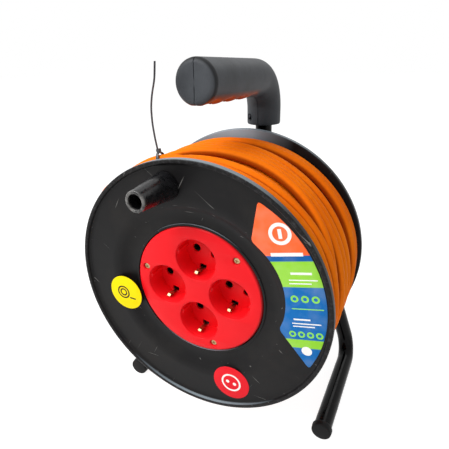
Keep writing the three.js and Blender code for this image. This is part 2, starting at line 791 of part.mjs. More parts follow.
const bracketPlate = block(
  bracketWidth, bracketThickness, bracketHeight, 0, bracketFront + bracketThickness / 2, 0,
);
const bracketBore = solid(rod(axleRadius + 0.3, bracketFront - 1, bracketFront + 10, 0, 0, 32));
piece(stand, "axle_bracket", surface(cut(solid(bracketPlate), ...boltHoles, bracketBore)), blackEnamel);
["lower", "upper"].forEach((place, i) => {
  const z = boltHeights[i];
  const head = bracketFront - seatGap;
  const bolt = turned([
    [0, head - 3.4], [bracketBoltHead * 0.55, head - 3.4], [bracketBoltHead, head - 1.2],
    [bracketBoltHead, head], [bracketBoltRadius, head], [bracketBoltRadius, boltBack],
    [0, boltBack],
  ], 16);
  piece(stand, `bracket_bolt_${place}`, bolt.translate(0, 0, z), zincSteel);
  const nutFront = standSetback + tubeRadius + seatGap;
  const nut = hexNut(
    bracketBoltRadius + 0.1, bracketBoltHead, nutFront, nutFront + bracketNutHeight, 0, z,
  );
  piece(stand, `bracket_nut_${place}`, nut, zincSteel);
});

// ---- Foot caps ------------------------------------------------------------------------
function footCap(side) {
  const nose = footFront - seatGap - capNose;
  const skirt = nose + capLength;
  const cup = turned([
    [0, nose], [capRadius - 1.2, nose], [capRadius, nose + 1.2], [capRadius, skirt],
    [tubeRadius + seatGap, skirt], [tubeRadius + seatGap, footFront - seatGap],
    [0, footFront - seatGap],
  ], 24);
  const under = block(40, 60, 20, 0, footFront, -capFlat - 10);
  const cap = solid(cup).subtract(solid(under));
  const splay = Math.atan((heelSpread - footSpread) / footRun);
  return surface(cap).translate(0, -footFront, 0).rotateZ(-side * splay)
    .translate(side * footSpread, footFront, footAxisFront);
}
piece(stand, "foot_cap_left", footCap(-1), blackPlastic);
piece(stand, "foot_cap_right", footCap(1), blackPlastic);

// ---- Grip: two half shells over the tube --------------------------------------------------
function gripBody() {
  const knots = handleKnots(gripFront + gripChamfer, sleeveFoot, 7);
  let body = solid(tubeAlong(knots, gripRadius, 20));
  const nose = turned([
    [0, 0], [gripRadius - gripChamfer, 0], [gripRadius - 1, gripChamfer * 0.5],
    [gripRadius, gripChamfer + 0.6], [0, gripChamfer + 0.6],
  ], 20);
  nose.rotateX(-gripTilt).translate(0, gripFront, gripRise(gripFront));
  body = body.add(solid(nose));
  for (let i = 0; i < fingerGrooves; i += 1) {
    const y = fingerFirst + i * fingerPitch;
    const z = gripRise(y) - gripRadius - fingerRadius + fingerDepth;
    body = body.subtract(solid(crossRod(fingerRadius, -gripRadius, gripRadius, y, z, 20)));
  }
  const channel = handleKnots(handleTubeEnd - 1, sleeveFoot - 5, 7);
  return body.subtract(solid(tubeAlong(channel, tubeRadius + seatGap, 12)));
}

// Each screw crosses the grip: [y, z, depth of its head's seat from the grip's side].
const gripScrews = [
  [standSetback - gripRadius + 4, sleeveFoot + 8, 9],
  [handleTubeEnd - 8, gripRise(handleTubeEnd - 8), handleScrewSink],
];
const gripSolid = gripBody();
const wide = 2 * gripRadius + 10;
const deep = standSetback - gripFront + 4 * gripRadius;
function gripHalf(side) {
  const room = block(
    wide, deep, 200, side * (wide / 2 + seatGap / 2), (standSetback + gripFront) / 2, gripHeight,
  );
  const screwCuts = gripScrews.flatMap(([y, z, sink]) => [
    solid(crossRod(handleScrewRadius + pilotGap, -gripRadius, gripRadius * 0.5, y, z)),
    solid(crossRod(handleScrewHead + 0.5, -gripRadius - 1, -gripRadius + sink, y, z)),
  ]);
  return surface(cut(gripSolid.intersect(solid(room)), ...screwCuts));
}
piece(stand, "grip_half_left", gripHalf(-1), gripPlastic);
piece(stand, "grip_half_right", gripHalf(1), gripPlastic);
gripScrews.forEach(([y, z, sink], i) => {
  const seat = -gripRadius + sink - seatGap;
  const head = solid(crossRod(handleScrewHead, seat - 2, seat, y, z));
  const shank = solid(crossRod(handleScrewRadius, seat - 0.5, gripRadius * 0.45, y, z));
  piece(stand, `grip_screw_${i + 1}`, surface(head.add(shank)), zincSteel);
});

// ---- Cable on the drum -----------------------------------------------------------------
// The layers below are one plain core; the outer layer is one unbroken tube over it.
const windingHalf = webBack - seatGap;
const stepSag = Math.cos((1.02 * Math.PI) / loopSteps);
const coreRadius = (layerRadius - cableRadius) * stepSag - 1.5 * seatGap;
const coreFoot = dishBack - seatGap;
const coreShoulder = (dishRadius + dishFoot) / 2 + 1;
const coreRise = webBack - dishDepth * 0.6 - 2 * seatGap;

function loopPlace(loop) {
  const wide = wideGapAfter.filter((after) => loop > after).length;
  const spare = 2 * (windingHalf - cableRadius - seatGap) - loopPitch * (loops - 1);
  return windingHalf - cableRadius - seatGap - loopPitch * loop
    - (spare / wideGapAfter.length) * wide;
}

// The cable's axis after turning through angle, counted from the first loop's start.
function loopPoint(angle) {
  const loop = Math.floor(angle / (2 * Math.PI));
  const within = angle - loop * 2 * Math.PI;
  const shift = THREE.MathUtils.smoothstep(within, jogStart, jogStart + jogSweep);
  const here = loopPlace(loop);
  const next = loop + 1 < loops ? loopPlace(loop + 1) : here;
  const y = here + (next - here) * shift;
  return V(layerRadius * Math.cos(angle), y, layerRadius * Math.sin(angle));
}

function windingKnots() {
  const startAngle = THREE.MathUtils.degToRad(-40);
  const dive = 2 * cableRadius + seatGap;
  const top = loopPoint(0);
  const tangent = V(-Math.sin(startAngle), 0, Math.cos(startAngle));
  const outward = V(Math.cos(startAngle), 0, Math.sin(startAngle));
  const low = outward.clone().multiplyScalar(layerRadius - dive).setY(top.y);
  const knots = [
    low.clone().addScaledVector(tangent, -2 * cableRadius), low.clone(),
    low.clone().addScaledVector(tangent, 9).addScaledVector(outward, 1.2),
    low.clone().addScaledVector(tangent, 21).addScaledVector(outward, 4.4),
  ];
  for (let angle = -14; angle < 0; angle += 7) {
    const a = THREE.MathUtils.degToRad(angle);
    knots.push(V(layerRadius * Math.cos(a), top.y, layerRadius * Math.sin(a)));
  }
  const whole = 2 * Math.PI * (loops - 1) + tailAngle;
  const count = Math.round((whole / (2 * Math.PI)) * loopSteps);
  for (let i = 0; i <= count; i += 1) knots.push(loopPoint((whole * i) / count));
  const end = V(-Math.sin(tailAngle), 0, Math.cos(tailAngle)).multiplyScalar(2 * cableRadius);
  knots.push(knots[knots.length - 1].clone().add(end));
  return knots;
}

// Six-sided section, with a corner row outwards, carried along the knots.
function woundTube(knots, radius, sides) {
  const path = new KnotPath(knots);
  const last = knots.length - 1;
  const place = [];
  const index = [];
  const axis = V(0, 1, 0);
  knots.forEach((knot, i) => {
    const tangent = path.getTangentAt(i / last);
    const out = tangent.clone().cross(axis).normalize();
    const side = out.clone().cross(tangent).normalize();
    for (let k = 0; k < sides; k += 1) {
      const angle = (k / sides) * 2 * Math.PI;
      const corner = knot.clone().addScaledVector(out, radius * Math.cos(angle));
      corner.addScaledVector(side, radius * Math.sin(angle));
      place.push(corner.x, corner.y, corner.z);
    }
  });
  for (let i = 0; i < last; i += 1) {
    for (let k = 0; k < sides; k += 1) {
      const [a, b] = [i * sides + k, i * sides + ((k + 1) % sides)];
      index.push(a, b, a + sides, b, b + sides, a + sides);
    }
  }
  for (let k = 1; k < sides - 1; k += 1) {
    index.push(0, k + 1, k, last * sides, last * sides + k, last * sides + k + 1);
  }
  const geometry = new THREE.BufferGeometry();
  geometry.setAttribute("position", new THREE.Float32BufferAttribute(place, 3));
  geometry.setIndex(index);
  return geometry;
}

const outerKnots = windingKnots();
piece(cord, "cable_outer_layer", woundTube(outerKnots, cableRadius, loopSides), orangeSheath);

// The least gap of the tube to itself, over points more than a third of a loop apart.
let leastGap = Infinity;
const apart = Math.round(loopSteps / 3);
outerKnots.forEach((knot, i) => {
  for (let k = i + apart; k < outerKnots.length; k += 1) {
    leastGap = Math.min(leastGap, knot.distanceTo(outerKnots[k]) - 2 * cableRadius);
  }
});
console.log(`outer layer: least gap to itself ${leastGap.toFixed(2)} mm`);

const coreRing = solid(turned([
  [coreInner, -coreFoot], [dishFoot + 0.6, -coreFoot], [coreShoulder, -coreRise],
  [dishRadius - 2, -windingHalf], [coreRadius, -windingHalf], [coreRadius, windingHalf],
  [dishRadius - 2, windingHalf], [coreShoulder, coreRise], [dishFoot + 0.6, coreFoot],
  [coreInner, coreFoot],
], 48));
// The first loop comes up through this pocket from the layer below.
const pocketAngle = THREE.MathUtils.degToRad(-40);
const pocketDepth = 2 * cableRadius + 2 * seatGap + 1;
const pocketLength = 50;
const pocket = block(
  2 * pocketDepth, 2 * cableRadius + 2 * seatGap + 5, pocketLength,
  layerRadius - 2 * cableRadius + 1.2, loopPlace(0) + 1.4,
  pocketLength / 2 - 2 * cableRadius - seatGap,
).rotateY(-pocketAngle);
piece(cord, "cable_core", surface(coreRing.subtract(solid(pocket))), orangeSheath);

// ---- Cable tail, plug and tie ----------------------------------------------------------
// The tail climbs onto the outer layer, is tied there and runs down the left side to the
// plug. Its points are [angle in degrees, radius, y].
const tailStart = outerKnots[outerKnots.length - 1];
const tailDirection = V(-Math.sin(tailAngle), 0, Math.cos(tailAngle));
const tailRoute = [
  [94, 121.4, -56.6], [104, 124.5, -55.9], [113, 122.6, -56.4], [124, 121.2, -56.7],
  [135, 124.6, -55.2], [143, 129, -49.5], [150, 130.8, -42], [157, 133.5, -31],
  [164, 138, -16],
];
const plugAxis = V(-Math.sin(plugAngle), 0, Math.cos(plugAngle));
const plugSeat = layerRadius + cableRadius + 2 * seatGap + plugRadius;
const plugMiddle = V(plugSeat * Math.cos(plugAngle), 0, plugSeat * Math.sin(plugAngle));
const plugRear = plugMiddle.clone().addScaledVector(plugAxis, -plugLength / 2 - plugReliefLength);
const tailPoints = [
  tailStart.clone().addScaledVector(tailDirection, seatGap),
  tailStart.clone().addScaledVector(tailDirection, 2 * cableRadius),
  ...tailRoute.map(([degrees, radius, y]) => {
    const [x, z] = polar(radius, degrees);
    return V(x, y, z);
  }),
  plugRear.clone().addScaledVector(plugAxis, -2 * cableRadius),
  plugRear.clone().addScaledVector(plugAxis, -seatGap),
];
const tailCurve = new THREE.CatmullRomCurve3(tailPoints, false, "centripetal");
piece(
  cord, "cable_tail",
  new THREE.ExtrudeGeometry(circle(cableRadius, 8), { steps: 30, extrudePath: tailCurve }),
  orangeSheath,
);

// Drawn along +Y from the cable end to the face, then laid against the winding.
const plugFace = plugReliefLength + plugLength;
function layPlug(geometry) {
  const outward = V(plugAxis.z, 0, -plugAxis.x);
  const basis = new THREE.Matrix4().makeBasis(outward, plugAxis, V(0, 1, 0).negate());
  return geometry.applyMatrix4(basis).translate(plugRear.x, plugRear.y, plugRear.z);
}
const plugBody = turned([
  [0, 0], [cableRadius + 1.2, 0], [cableRadius + 2.4, plugReliefLength * 0.8],
  [plugRadius * 0.62, plugReliefLength + 2], [plugRadius * 0.86, plugReliefLength + 16],
  [plugRadius, plugReliefLength + 22], [plugRadius, plugFace - 1], [plugRadius - 1, plugFace],
  [0, plugFace],
], 24);
const plugPins = [-1, 1].map((side) => rod(
  plugPinRadius, plugFace - 8, plugFace + plugPinLength, 0, (side * pinSpacing) / 2, 12,
));
const pinSockets = [-1, 1].map((side) => solid(rod(
  plugPinRadius + pilotGap, plugFace - 8 - seatGap, plugFace + 1, 0, (side * pinSpacing) / 2, 12,
)));
piece(cord, "plug_body", layPlug(surface(cut(solid(plugBody), ...pinSockets))), blackPlastic);
["outer", "inner"].forEach((side, i) => {
  piece(cord, `plug_pin_${side}`, layPlug(plugPins[i]), zincSteel);
});

// A slim strap around the tail, its head on the outside and its free end standing up.
const tieTurn = 104;
const tieRadius = cableRadius + 0.3;
const tiePlace = -55.9;
const [tieX, tieZ] = polar(124.5, tieTurn);
const tieFree = [[-33.6, 138], [-34.8, 150], [-34.6, 162], [-32.6, 172], [-29, 183], [-27.4, 196]];
function tieStrap() {
  const [across, along] = polar(1, tieTurn + 90);
  const band = turned([
    [tieRadius, -tieWidth / 2], [tieRadius + tieThickness, -tieWidth / 2],
    [tieRadius + tieThickness, tieWidth / 2], [tieRadius, tieWidth / 2],
  ], 20);
  const turn = new THREE.Quaternion().setFromUnitVectors(V(0, 1, 0), V(across, 0, along));
  band.applyQuaternion(turn).translate(tieX, tiePlace, tieZ);
  const reach = tieRadius + tieThickness + tieHead / 2 - 0.6;
  const [hx, hz] = polar(reach, tieTurn);
  const head = block(tieHead, tieHead * 0.8, tieHead, 0, 0, 0);
  head.rotateY(-THREE.MathUtils.degToRad(tieTurn)).translate(tieX + hx, tiePlace, tieZ + hz);
  const rise = [[tieX + hx, tieZ + hz], ...tieFree].map(([x, z]) => V(x, tiePlace - 1, z));
  const strip = new THREE.Shape();
  strip.moveTo(-tieThickness / 2, -tieWidth / 2);
  strip.lineTo(tieThickness / 2, -tieWidth / 2);
  strip.lineTo(tieThickness / 2, tieWidth / 2);
  strip.lineTo(-tieThickness / 2, tieWidth / 2);
  strip.closePath();
  const free = new THREE.ExtrudeGeometry(strip, {
    steps: tieFree.length, extrudePath: new KnotPath(rise),
  });
  return surface(join(solid(band), solid(head), solid(free)));
}
piece(cord, "cable_tie", tieStrap(), blackPlastic);

// ---- Set on the floor -----------------------------------------------------------------
// The origin is on the floor, below the middle of the stand and drum without their cable.
reel.updateMatrixWorld(true);
const body = new THREE.Box3();
for (const group of [stand, drum]) body.union(new THREE.Box3().setFromObject(group));
const middle = body.getCenter(new THREE.Vector3());
reel.position.set(-middle.x, -middle.y, -body.min.z);
console.log(`axle at y ${(-middle.y).toFixed(4)}, z ${(-body.min.z).toFixed(4)}`);

export default reel;
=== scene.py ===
# ---- The view ------------------------------------------------------------------------------
# The reel stands on the floor with its sockets towards the viewer, seen a little from its
# right and from above. Every piece is drawn in millimetres about the drum's axle, whose place
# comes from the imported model.
import json
import math

import bmesh
import bpy
import numpy as np
from mathutils import Matrix, Vector
from mathutils.geometry import tessellate_polygon


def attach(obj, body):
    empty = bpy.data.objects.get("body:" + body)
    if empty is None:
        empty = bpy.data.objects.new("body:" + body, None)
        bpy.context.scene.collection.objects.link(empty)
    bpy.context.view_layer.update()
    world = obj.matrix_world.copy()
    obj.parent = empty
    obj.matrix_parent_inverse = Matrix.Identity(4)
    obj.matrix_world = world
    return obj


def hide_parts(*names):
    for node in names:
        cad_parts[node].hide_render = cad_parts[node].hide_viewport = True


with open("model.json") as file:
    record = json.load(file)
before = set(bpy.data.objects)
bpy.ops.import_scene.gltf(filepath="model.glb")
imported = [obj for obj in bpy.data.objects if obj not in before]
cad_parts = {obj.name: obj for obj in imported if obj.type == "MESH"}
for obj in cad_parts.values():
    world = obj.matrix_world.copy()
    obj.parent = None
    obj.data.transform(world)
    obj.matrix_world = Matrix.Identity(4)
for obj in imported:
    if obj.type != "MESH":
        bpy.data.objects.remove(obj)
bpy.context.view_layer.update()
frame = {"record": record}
joints = {joint["name"]: joint for joint in frame["record"]["behaviour"]["joints"]}
axle_place = Vector(joints["drum_spin"]["pos_m"])
mm = 0.001

azimuth, elevation, roll = (math.radians(angle) for angle in (25.91, 23.46, -1.43))
backward = Vector((
    math.sin(azimuth) * math.cos(elevation),
    -math.cos(azimuth) * math.cos(elevation),
    math.sin(elevation),
))
level = Vector((math.cos(azimuth), math.sin(azimuth), 0))
upright = backward.cross(level)
camera_right = level * math.cos(roll) + upright * math.sin(roll)
camera_up = upright * math.cos(roll) - level * math.sin(roll)
camera_data = bpy.data.cameras.new("camera")
picture_width, focal_length = 449, 405.93  # in pixels
camera_data.sensor_width = 36
camera_data.lens = focal_length * camera_data.sensor_width / picture_width
camera_data.clip_start = 0.02
camera = bpy.data.objects.new("camera", camera_data)
camera_turn = Matrix((camera_right, camera_up, backward)).transposed().to_4x4()
camera_place = axle_place + Vector((162.1, -333.2, 203.6)) * mm
camera.matrix_world = Matrix.Translation(camera_place) @ camera_turn
bpy.context.scene.collection.objects.link(camera)
bpy.context.scene.camera = camera
bpy.context.scene.view_settings.view_transform = "Standard"


# ---- Cable ---------------------------------------------------------------------------------
# Fifty metres of round three-core cable in an extruded orange PVC sheath, wound on in seven
# layers by hand: the outer turns wander and leave two gaps. The last turn is tied down near
# the front flange and runs on, behind it, to the plug.
cable_radius = 4.4
entry_angle = 245
entry_place = 20
# Each covered layer's radius, how far along the axle it runs to, and its turns.
hidden_layers = [
    (77.9, 52.5, 1 / 2), (77.9, -50.5, 23 / 2), (84.6, 53.5, 12), (91.3, -56.6, 13),
    (97.9, 56.6, 13), (104.5, -56.6, 13), (111.4, -47.4, 1), (111.4, -21, 1 / 6),
    (111.4, 6, 17 / 6),
]
turn_angles = [-115, -15, 5, 20, 35, 50, 65, 80, 100, 185]
turn_start, turn_end = turn_angles[0], turn_angles[0] + 360
tied_angle = 84
steps_per_turn = 24
# For each outer turn, from the rear flange forwards: its radius, then its place along the
# axle at each of those angles.
outer_turns = [
    (115.0, [53.5, 53.5, 53.5, 53.5, 53.5, 53.5, 53.0, 51.5, 51.0, 52.0]),
    (117.0, [44.0, 45.0, 45.2, 45.2, 45.2, 45.2, 44.0, 41.5, 40.5, 42.0]),
    (119.6, [32.0, 35.0, 36.0, 36.8, 37.0, 36.8, 34.0, 30.5, 29.0, 30.0]),
    (120.6, [7.5, 7.4, 8.2, 9.4, 9.8, 9.9, 9.4, 9.0, 8.4, 7.8]),
    (120.2, [-3.4, -4.8, -4.4, -4.0, -3.2, -2.4, 0.6, 0.4, -0.4, -2.0]),
    (120.4, [-14.6, -18.8, -18.2, -16.3, -12.0, -10.0, -7.8, -8.0, -9.2, -12.0]),
    (120.9, [-26.0, -33.0, -32.6, -28.5, -24.6, -17.8, -16.2, -18.6, -21.5, -25.0]),
    (119.2, [-43.0, -40.0, -38.0, -36.2, -37.2, -39.4, -40.4, -42.6, -46.0, -46.0]),
    (118.4, [-54.8, -54.0, -52.6, -50.4, -47.2, -50.6, -52.2, -53.4, -55.4, -56.7]),
]
# How far the three rear turns bulge out at each of those angles, and each one's share of it.
rear_bulge = [3, 4.5, 4.5, 4.4, 2.9, 1.5, 0.6, 0.2, 0, 1]
bulge_shares = (1, 0.7, 0.3)
dipping_turn, dip_depth, dip_angle = 6, 3.4, 34
# The tail, as [angle, radius, place along the axle].
tail_route = [
    (94, 121.4, -55.6), (104, 124.5, -55.9), (113, 122.6, -56.4), (124, 121.2, -56.7),
    (135, 124.6, -55.2), (143, 129, -49.5), (150, 130.8, -42), (157, 133.5, -31),
    (164, 138, -16),
]
plug_angle = 195
plug_seat = 142.35
plug_length = 40
plug_relief = 25


def ring_point(degrees, radius, y):
    angle = math.radians(degrees)
    return (radius * math.cos(angle), y, radius * math.sin(angle))


def ease(t):
    t = min(max(t, 0), 1)
    return t * t * (3 - 2 * t)


plug_axis = Vector(ring_point(plug_angle + 90, 1, 0))
plug_rear = Vector(ring_point(plug_angle, plug_seat, 0))
plug_rear -= plug_axis * (plug_length / 2 + plug_relief)


def hidden_turns():
    points = []
    angle, below, place = entry_angle, hidden_layers[0][0], entry_place
    for radius, end, turns in hidden_layers:
        steps = round(turns * steps_per_turn)
        for i in range(steps):
            r = below + (radius - below) * ease(i / 5)
            points.append(ring_point(angle, r, place + (end - place) * i / steps))
            angle += 360 / steps_per_turn
        below, place = radius, end
    return points


def visible_turns():
    points = []
    last = len(outer_turns) - 1
    for k, (radius, places) in enumerate(outer_turns):
        next_radius, next_places = outer_turns[min(k + 1, last)]
        for degrees in range(turn_start, tied_angle if k == last else turn_end, 5):
            y = float(np.interp(degrees, turn_angles, places))
            r = radius
            if k < len(bulge_shares):
                r += bulge_shares[k] * float(np.interp(degrees, turn_angles, rear_bulge))
            if k == dipping_turn:
                r -= dip_depth * ease((dip_angle - degrees) / 20)
            if k < last and degrees > turn_angles[-1]:
                over = ease((degrees - turn_angles[-1]) / 60)
                y += (next_places[0] - places[-1]) * over
                r += (next_radius - radius) * over
            if k == 0:
                below, start, _ = hidden_layers[-1]
                up = ease((degrees - turn_start) / 70)
                r, y = below + (r - below) * up, start + (y - start) * up
            points.append(ring_point(degrees, r, y))
    return points


# Spaces the points of a line evenly and rounds off the kinks between its stretches.
def smooth_line(points, step, rounds):
    points = np.array(points, float)
    gaps = np.linalg.norm(np.diff(points, axis=0), axis=1)
    along = np.concatenate([[0], np.cumsum(gaps)])
    places = np.linspace(0, along[-1], int(along[-1] / step) + 1)
    line = np.stack([np.interp(places, along, points[:, i]) for i in range(3)], axis=1)
    for _ in range(rounds):
        line[1:-1] = line[1:-1] * 0.5 + (line[:-2] + line[2:]) * 0.25
    return line


def to_row(points):
    return np.asarray(points, float).reshape(-1, 3) * mm + np.array(axle_place)


tail_points = [ring_point(*knot) for knot in tail_route]
tail_points += [tuple(plug_rear - plug_axis * 10), tuple(plug_rear + plug_axis * 1.5)]
turns = hidden_turns() + visible_turns()
cable_line = to_row(smooth_line(turns + tail_points, step=7.5, rounds=3))


def hex_colour(text):
    channels = [int(text[i:i + 2], 16) / 255 for i in (1, 3, 5)]
    linear = [c / 12.92 if c <= 0.04045 else ((c + 0.055) / 1.055) ** 2.4 for c in channels]
    return (*linear, 1)


# Adds a node with its settings, values and links, and gives one of its outputs or all.
def add_node(tree, kind, inputs=None, out=0, **settings):
    node = tree.nodes.new(kind)
    for name, value in settings.items():
        setattr(node, name, value)
    for name, value in (inputs or {}).items():
        if isinstance(value, bpy.types.NodeSocket):
            tree.links.new(value, node.inputs[name])
        else:
            is_colour = isinstance(value, str) and value.startswith("#")
            node.inputs[name].default_value = hex_colour(value) if is_colour else value
    return node.outputs if out is None else node.outputs[out]


# A new material, its tree, and Object coordinates in metres about the axle.
def start_material(name, colour, roughness, metallic=0.0, specular=0.5, ior=1.5):
    material = bpy.data.materials.new(name)
    material.use_nodes = True
    tree = material.node_tree
    plain = {
        "Base Color": hex_colour(colour), "Roughness": roughness, "Metallic": metallic,
        "Specular IOR Level": specular, "IOR": ior,
    }
    for socket, value in plain.items():
        tree.nodes["Principled BSDF"].inputs[socket].default_value = value
    source = add_node(tree, "ShaderNodeTexCoord", out="Object")
    place = add_node(tree, "ShaderNodeMapping", {"Location": tuple(-axle_place), "Vector": source})
    return material, tree, place


# Joins a colour, a roughness and a relief so many millimetres deep to a material's shader.
def finish_material(material, colour, roughness=None, height=None, strength=0.0, depth=0.0):
    tree = material.node_tree
    joined = {"Base Color": colour, "Roughness": roughness, "Normal": height}
    if height is not None:
        relief = {"Strength": strength, "Distance": depth * mm, "Height": height}
        joined["Normal"] = add_node(tree, "ShaderNodeBump", relief)
    for socket, source in joined.items():
        if source is not None:
            tree.links.new(source, tree.nodes["Principled BSDF"].inputs[socket])
    return material


# Patches of a size in millimetres. With a span, the noise between its two levels becomes an
# amount between the two given.
def mottled(tree, place, size, detail=2, roughness=0.5, span=None, amount=(0, 1)):
    noise = add_node(tree, "ShaderNodeTexNoise", {
        "Scale": 1 / (size * mm), "Detail": detail, "Roughness": roughness, "Vector": place,
    }, out="Fac")
    if span is None:
        return noise
    return add_node(tree, "ShaderNodeMapRange", {
        "Value": noise, "From Min": span[0], "From Max": span[1],
        "To Min": amount[0], "To Max": amount[1],
    })


# Lays coats of colour over a first one, each by its own amount.
def painted(tree, colour, *coats):
    for amount, coat in coats:
        colour = add_node(
            tree, "ShaderNodeMix", {0: amount, 6: colour, 7: coat}, data_type="RGBA", out=2,
        )
    return colour


# Flexible PVC, extruded: a satin skin with a soft sheen, long faint waves where the cores
# lie under it, 60 mm apart, random darker patches of dirt, and painted shade, a dark brown on the
# flanks of the turns that face away from outwards, in the grooves between them.
def extruded_pvc_orange():
    material, tree, place = start_material("extruded_pvc_orange", "#f77c0a", 0.6, specular=0.06)
    tone = mottled(tree, place, 70, span=(0.35, 0.7))
    # Random darker patches of dirt, the same anywhere on the sheath.
    grime_and_shade = mottled(tree, place, 6, 4, 0.6, (0.56, 0.76), (0, 0.25))
    gloss = mottled(tree, place, 6, 4, 0.6, (0.3, 0.7), (0.55, 0.7))
    outward = add_node(tree, "ShaderNodeVectorMath", {0: place, 1: (1, 0, 1)}, operation="MULTIPLY")
    outward = add_node(tree, "ShaderNodeVectorMath", {0: outward}, operation="NORMALIZE")
    facing = add_node(tree, "ShaderNodeTexCoord", out="Normal")
    facing = add_node(
        tree, "ShaderNodeVectorMath", {0: facing, 1: outward}, operation="DOT_PRODUCT", out="Value",
    )
    # Painted shade: dark brown on the turns' flanks that face away from outwards, in the grooves.
    groove_shade = add_node(
        tree, "ShaderNodeMapRange",
        {"From Min": 0.5, "From Max": 0.05, "To Max": 0.75, "Value": facing},
    )
    colour = painted(tree, "#f27206", (tone, "#fb840e"), (grime_and_shade, "#c45208"), (groove_shade, "#8c2c03"))
    along = add_node(tree, "ShaderNodeAttribute", attribute_name="along", out="Fac")
    wave = add_node(
        tree, "ShaderNodeMath", {0: along, 1: 2 * math.pi / (60 * mm)}, operation="MULTIPLY",
    )
    wave = add_node(tree, "ShaderNodeMath", {0: wave}, operation="SINE")
    height = add_node(
        tree, "ShaderNodeMath", {0: wave, 1: 0.5, 2: mottled(tree, place, 6, 4, 0.6)},
        operation="MULTIPLY_ADD",
    )
    return finish_material(material, colour, gloss, height, strength=0.5, depth=0.12)


# Starts a geometry tree with named inputs of given kinds, whose identifiers it also gives.
def start_tree(name, **kinds):
    tree = bpy.data.node_groups.new(name, "GeometryNodeTree")
    sockets = [
        tree.interface.new_socket(title, in_out="INPUT", socket_type="NodeSocket" + kind)
        for title, kind in kinds.items()
    ]
    tree.interface.new_socket("Result", in_out="OUTPUT", socket_type="NodeSocketGeometry")
    source = add_node(tree, "NodeGroupInput", out=None)
    return tree, source, [socket.identifier for socket in sockets]


# Ends a tree: what it made becomes real geometry in one material.
def end_tree(tree, geometry, material):
    real = add_node(tree, "GeometryNodeRealizeInstances", {"Geometry": geometry})
    dressed = add_node(tree, "GeometryNodeSetMaterial", {"Material": material, "Geometry": real})
    add_node(tree, "NodeGroupOutput", {0: dressed}, out=None)


# Sweeps a round tube along a line and keeps the distance along it as an attribute.
def sweep_tree(name, material):
    tree, source, inputs = start_tree(name, Line="Geometry", Radius="Float", Sides="Int")
    curve = add_node(tree, "GeometryNodeMeshToCurve", {"Mesh": source["Line"]})
    length = add_node(tree, "GeometryNodeSplineParameter", out="Length")
    kept = add_node(
        tree, "GeometryNodeStoreNamedAttribute",
        {"Name": "along", "Geometry": curve, "Value": length}, data_type="FLOAT", domain="POINT",
    )
    section = add_node(
        tree, "GeometryNodeCurvePrimitiveCircle",
        {"Resolution": source["Sides"], "Radius": source["Radius"]},
    )
    tube = add_node(
        tree, "GeometryNodeCurveToMesh",
        {"Fill Caps": True, "Curve": kept, "Profile Curve": section},
    )
    soft = add_node(tree, "GeometryNodeSetShadeSmooth", {"Geometry": tube})
    end_tree(tree, soft, material)
    return tree, inputs


def link_piece(name, mesh):
    piece = bpy.data.objects.new(name, mesh)
    bpy.context.scene.collection.objects.link(piece)
    return piece


# Turns what a piece's modifiers make into its own plain mesh.
def settle(piece):
    seen = piece.evaluated_get(bpy.context.evaluated_depsgraph_get())
    mesh = bpy.data.meshes.new_from_object(seen)
    piece.modifiers.clear()
    piece.data = mesh
    mesh.name = piece.name
    return piece


def run_tree(piece, tree, values):
    nodes = piece.modifiers.new("nodes", "NODES")
    nodes.node_group = tree
    for identifier, value in values.items():
        nodes[identifier] = value
    return settle(piece)


def swept(name, line, radius, sides, material):
    mesh = bpy.data.meshes.new(name)
    mesh.from_pydata([tuple(p) for p in line], [(i, i + 1) for i in range(len(line) - 1)], [])
    tree, (_, radius_input, sides_input) = sweep_tree(name + "_sweep", material)
    values = {radius_input: radius * mm, sides_input: sides}
    return run_tree(link_piece(name, mesh), tree, values)


sheath = extruded_pvc_orange()
cable = swept("cable", cable_line, cable_radius, sides=14, material=sheath)
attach(cable, "drum")
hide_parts("cable_core", "cable_outer_layer", "cable_tail")

# Its inner end comes out through the barrel's wall from the clamp beside the axle.
clamp_spread, barrel_skin = 4, 74
lead_ends = [ring_point(entry_angle, r, entry_place) for r in (clamp_spread, barrel_skin)]
lead_line = smooth_line(lead_ends, step=4, rounds=0)
lead = swept(
    "cable_lead_in", to_row(lead_line), cable_radius - 0.1, sides=14, material=sheath,
)
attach(lead, "drum")
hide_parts("cable_inner_end")


# ---- Plug ----------------------------------------------------------------------------------
# A round two-pin plug moulded onto the cable in soft black PVC, with a ribbed strain relief
# and a finger rim. Its pins are solid, nickel plated and rounded at their ends.
plug_radius = 18
pin_radius = 2.4
pin_length = 19
pin_spacing = 19


# Rounds the corners of a closed outline, each given as [a, b] or [a, b, rounding].
def soften(corners, steps=4):
    points = []
    for i, corner in enumerate(corners):
        here = np.array(corner[:2], float)
        before = np.array(corners[i - 1][:2]) - here
        after = np.array(corners[(i + 1) % len(corners)][:2]) - here
        reach = [np.linalg.norm(before), np.linalg.norm(after)]
        size = min(corner[2] if len(corner) > 2 else 0, 0.48 * reach[0], 0.48 * reach[1])
        if size == 0:
            points.append(tuple(here))
            continue
        start = here + before / reach[0] * size
        end = here + after / reach[1] * size
        for k in range(steps + 1):
            t = k / steps
            points.append(tuple(start * (1 - t) ** 2 + here * 2 * t * (1 - t) + end * t ** 2))
    return points


# A form is a list of points and a list of faces. This one is turned: its closed outline runs
# as [radius, distance along the axis].
def turned_form(outline, segments=96, base=(0, 0, 0), axis=(0, 1, 0)):
    axis = Vector(axis).normalized()
    side = Vector((axis.y, -axis.x, 0)) if abs(axis.z) < 0.9 else Vector((0, axis.z, -axis.y))
    side.normalize()
    other = axis.cross(side)
    points, faces = [], []
    count = len(outline)
    for k in range(segments):
        angle = 2 * math.pi * k / segments
        out = side * math.cos(angle) + other * math.sin(angle)
        points += [Vector(base) + axis * along + out * radius for radius, along in outline]
        near, far = k * count, ((k + 1) % segments) * count
        for i in range(count):
            j = (i + 1) % count
            if outline[i][0] > 0 or outline[j][0] > 0:
                faces.append((near + i, near + j, far + j, far + i))
    return points, faces


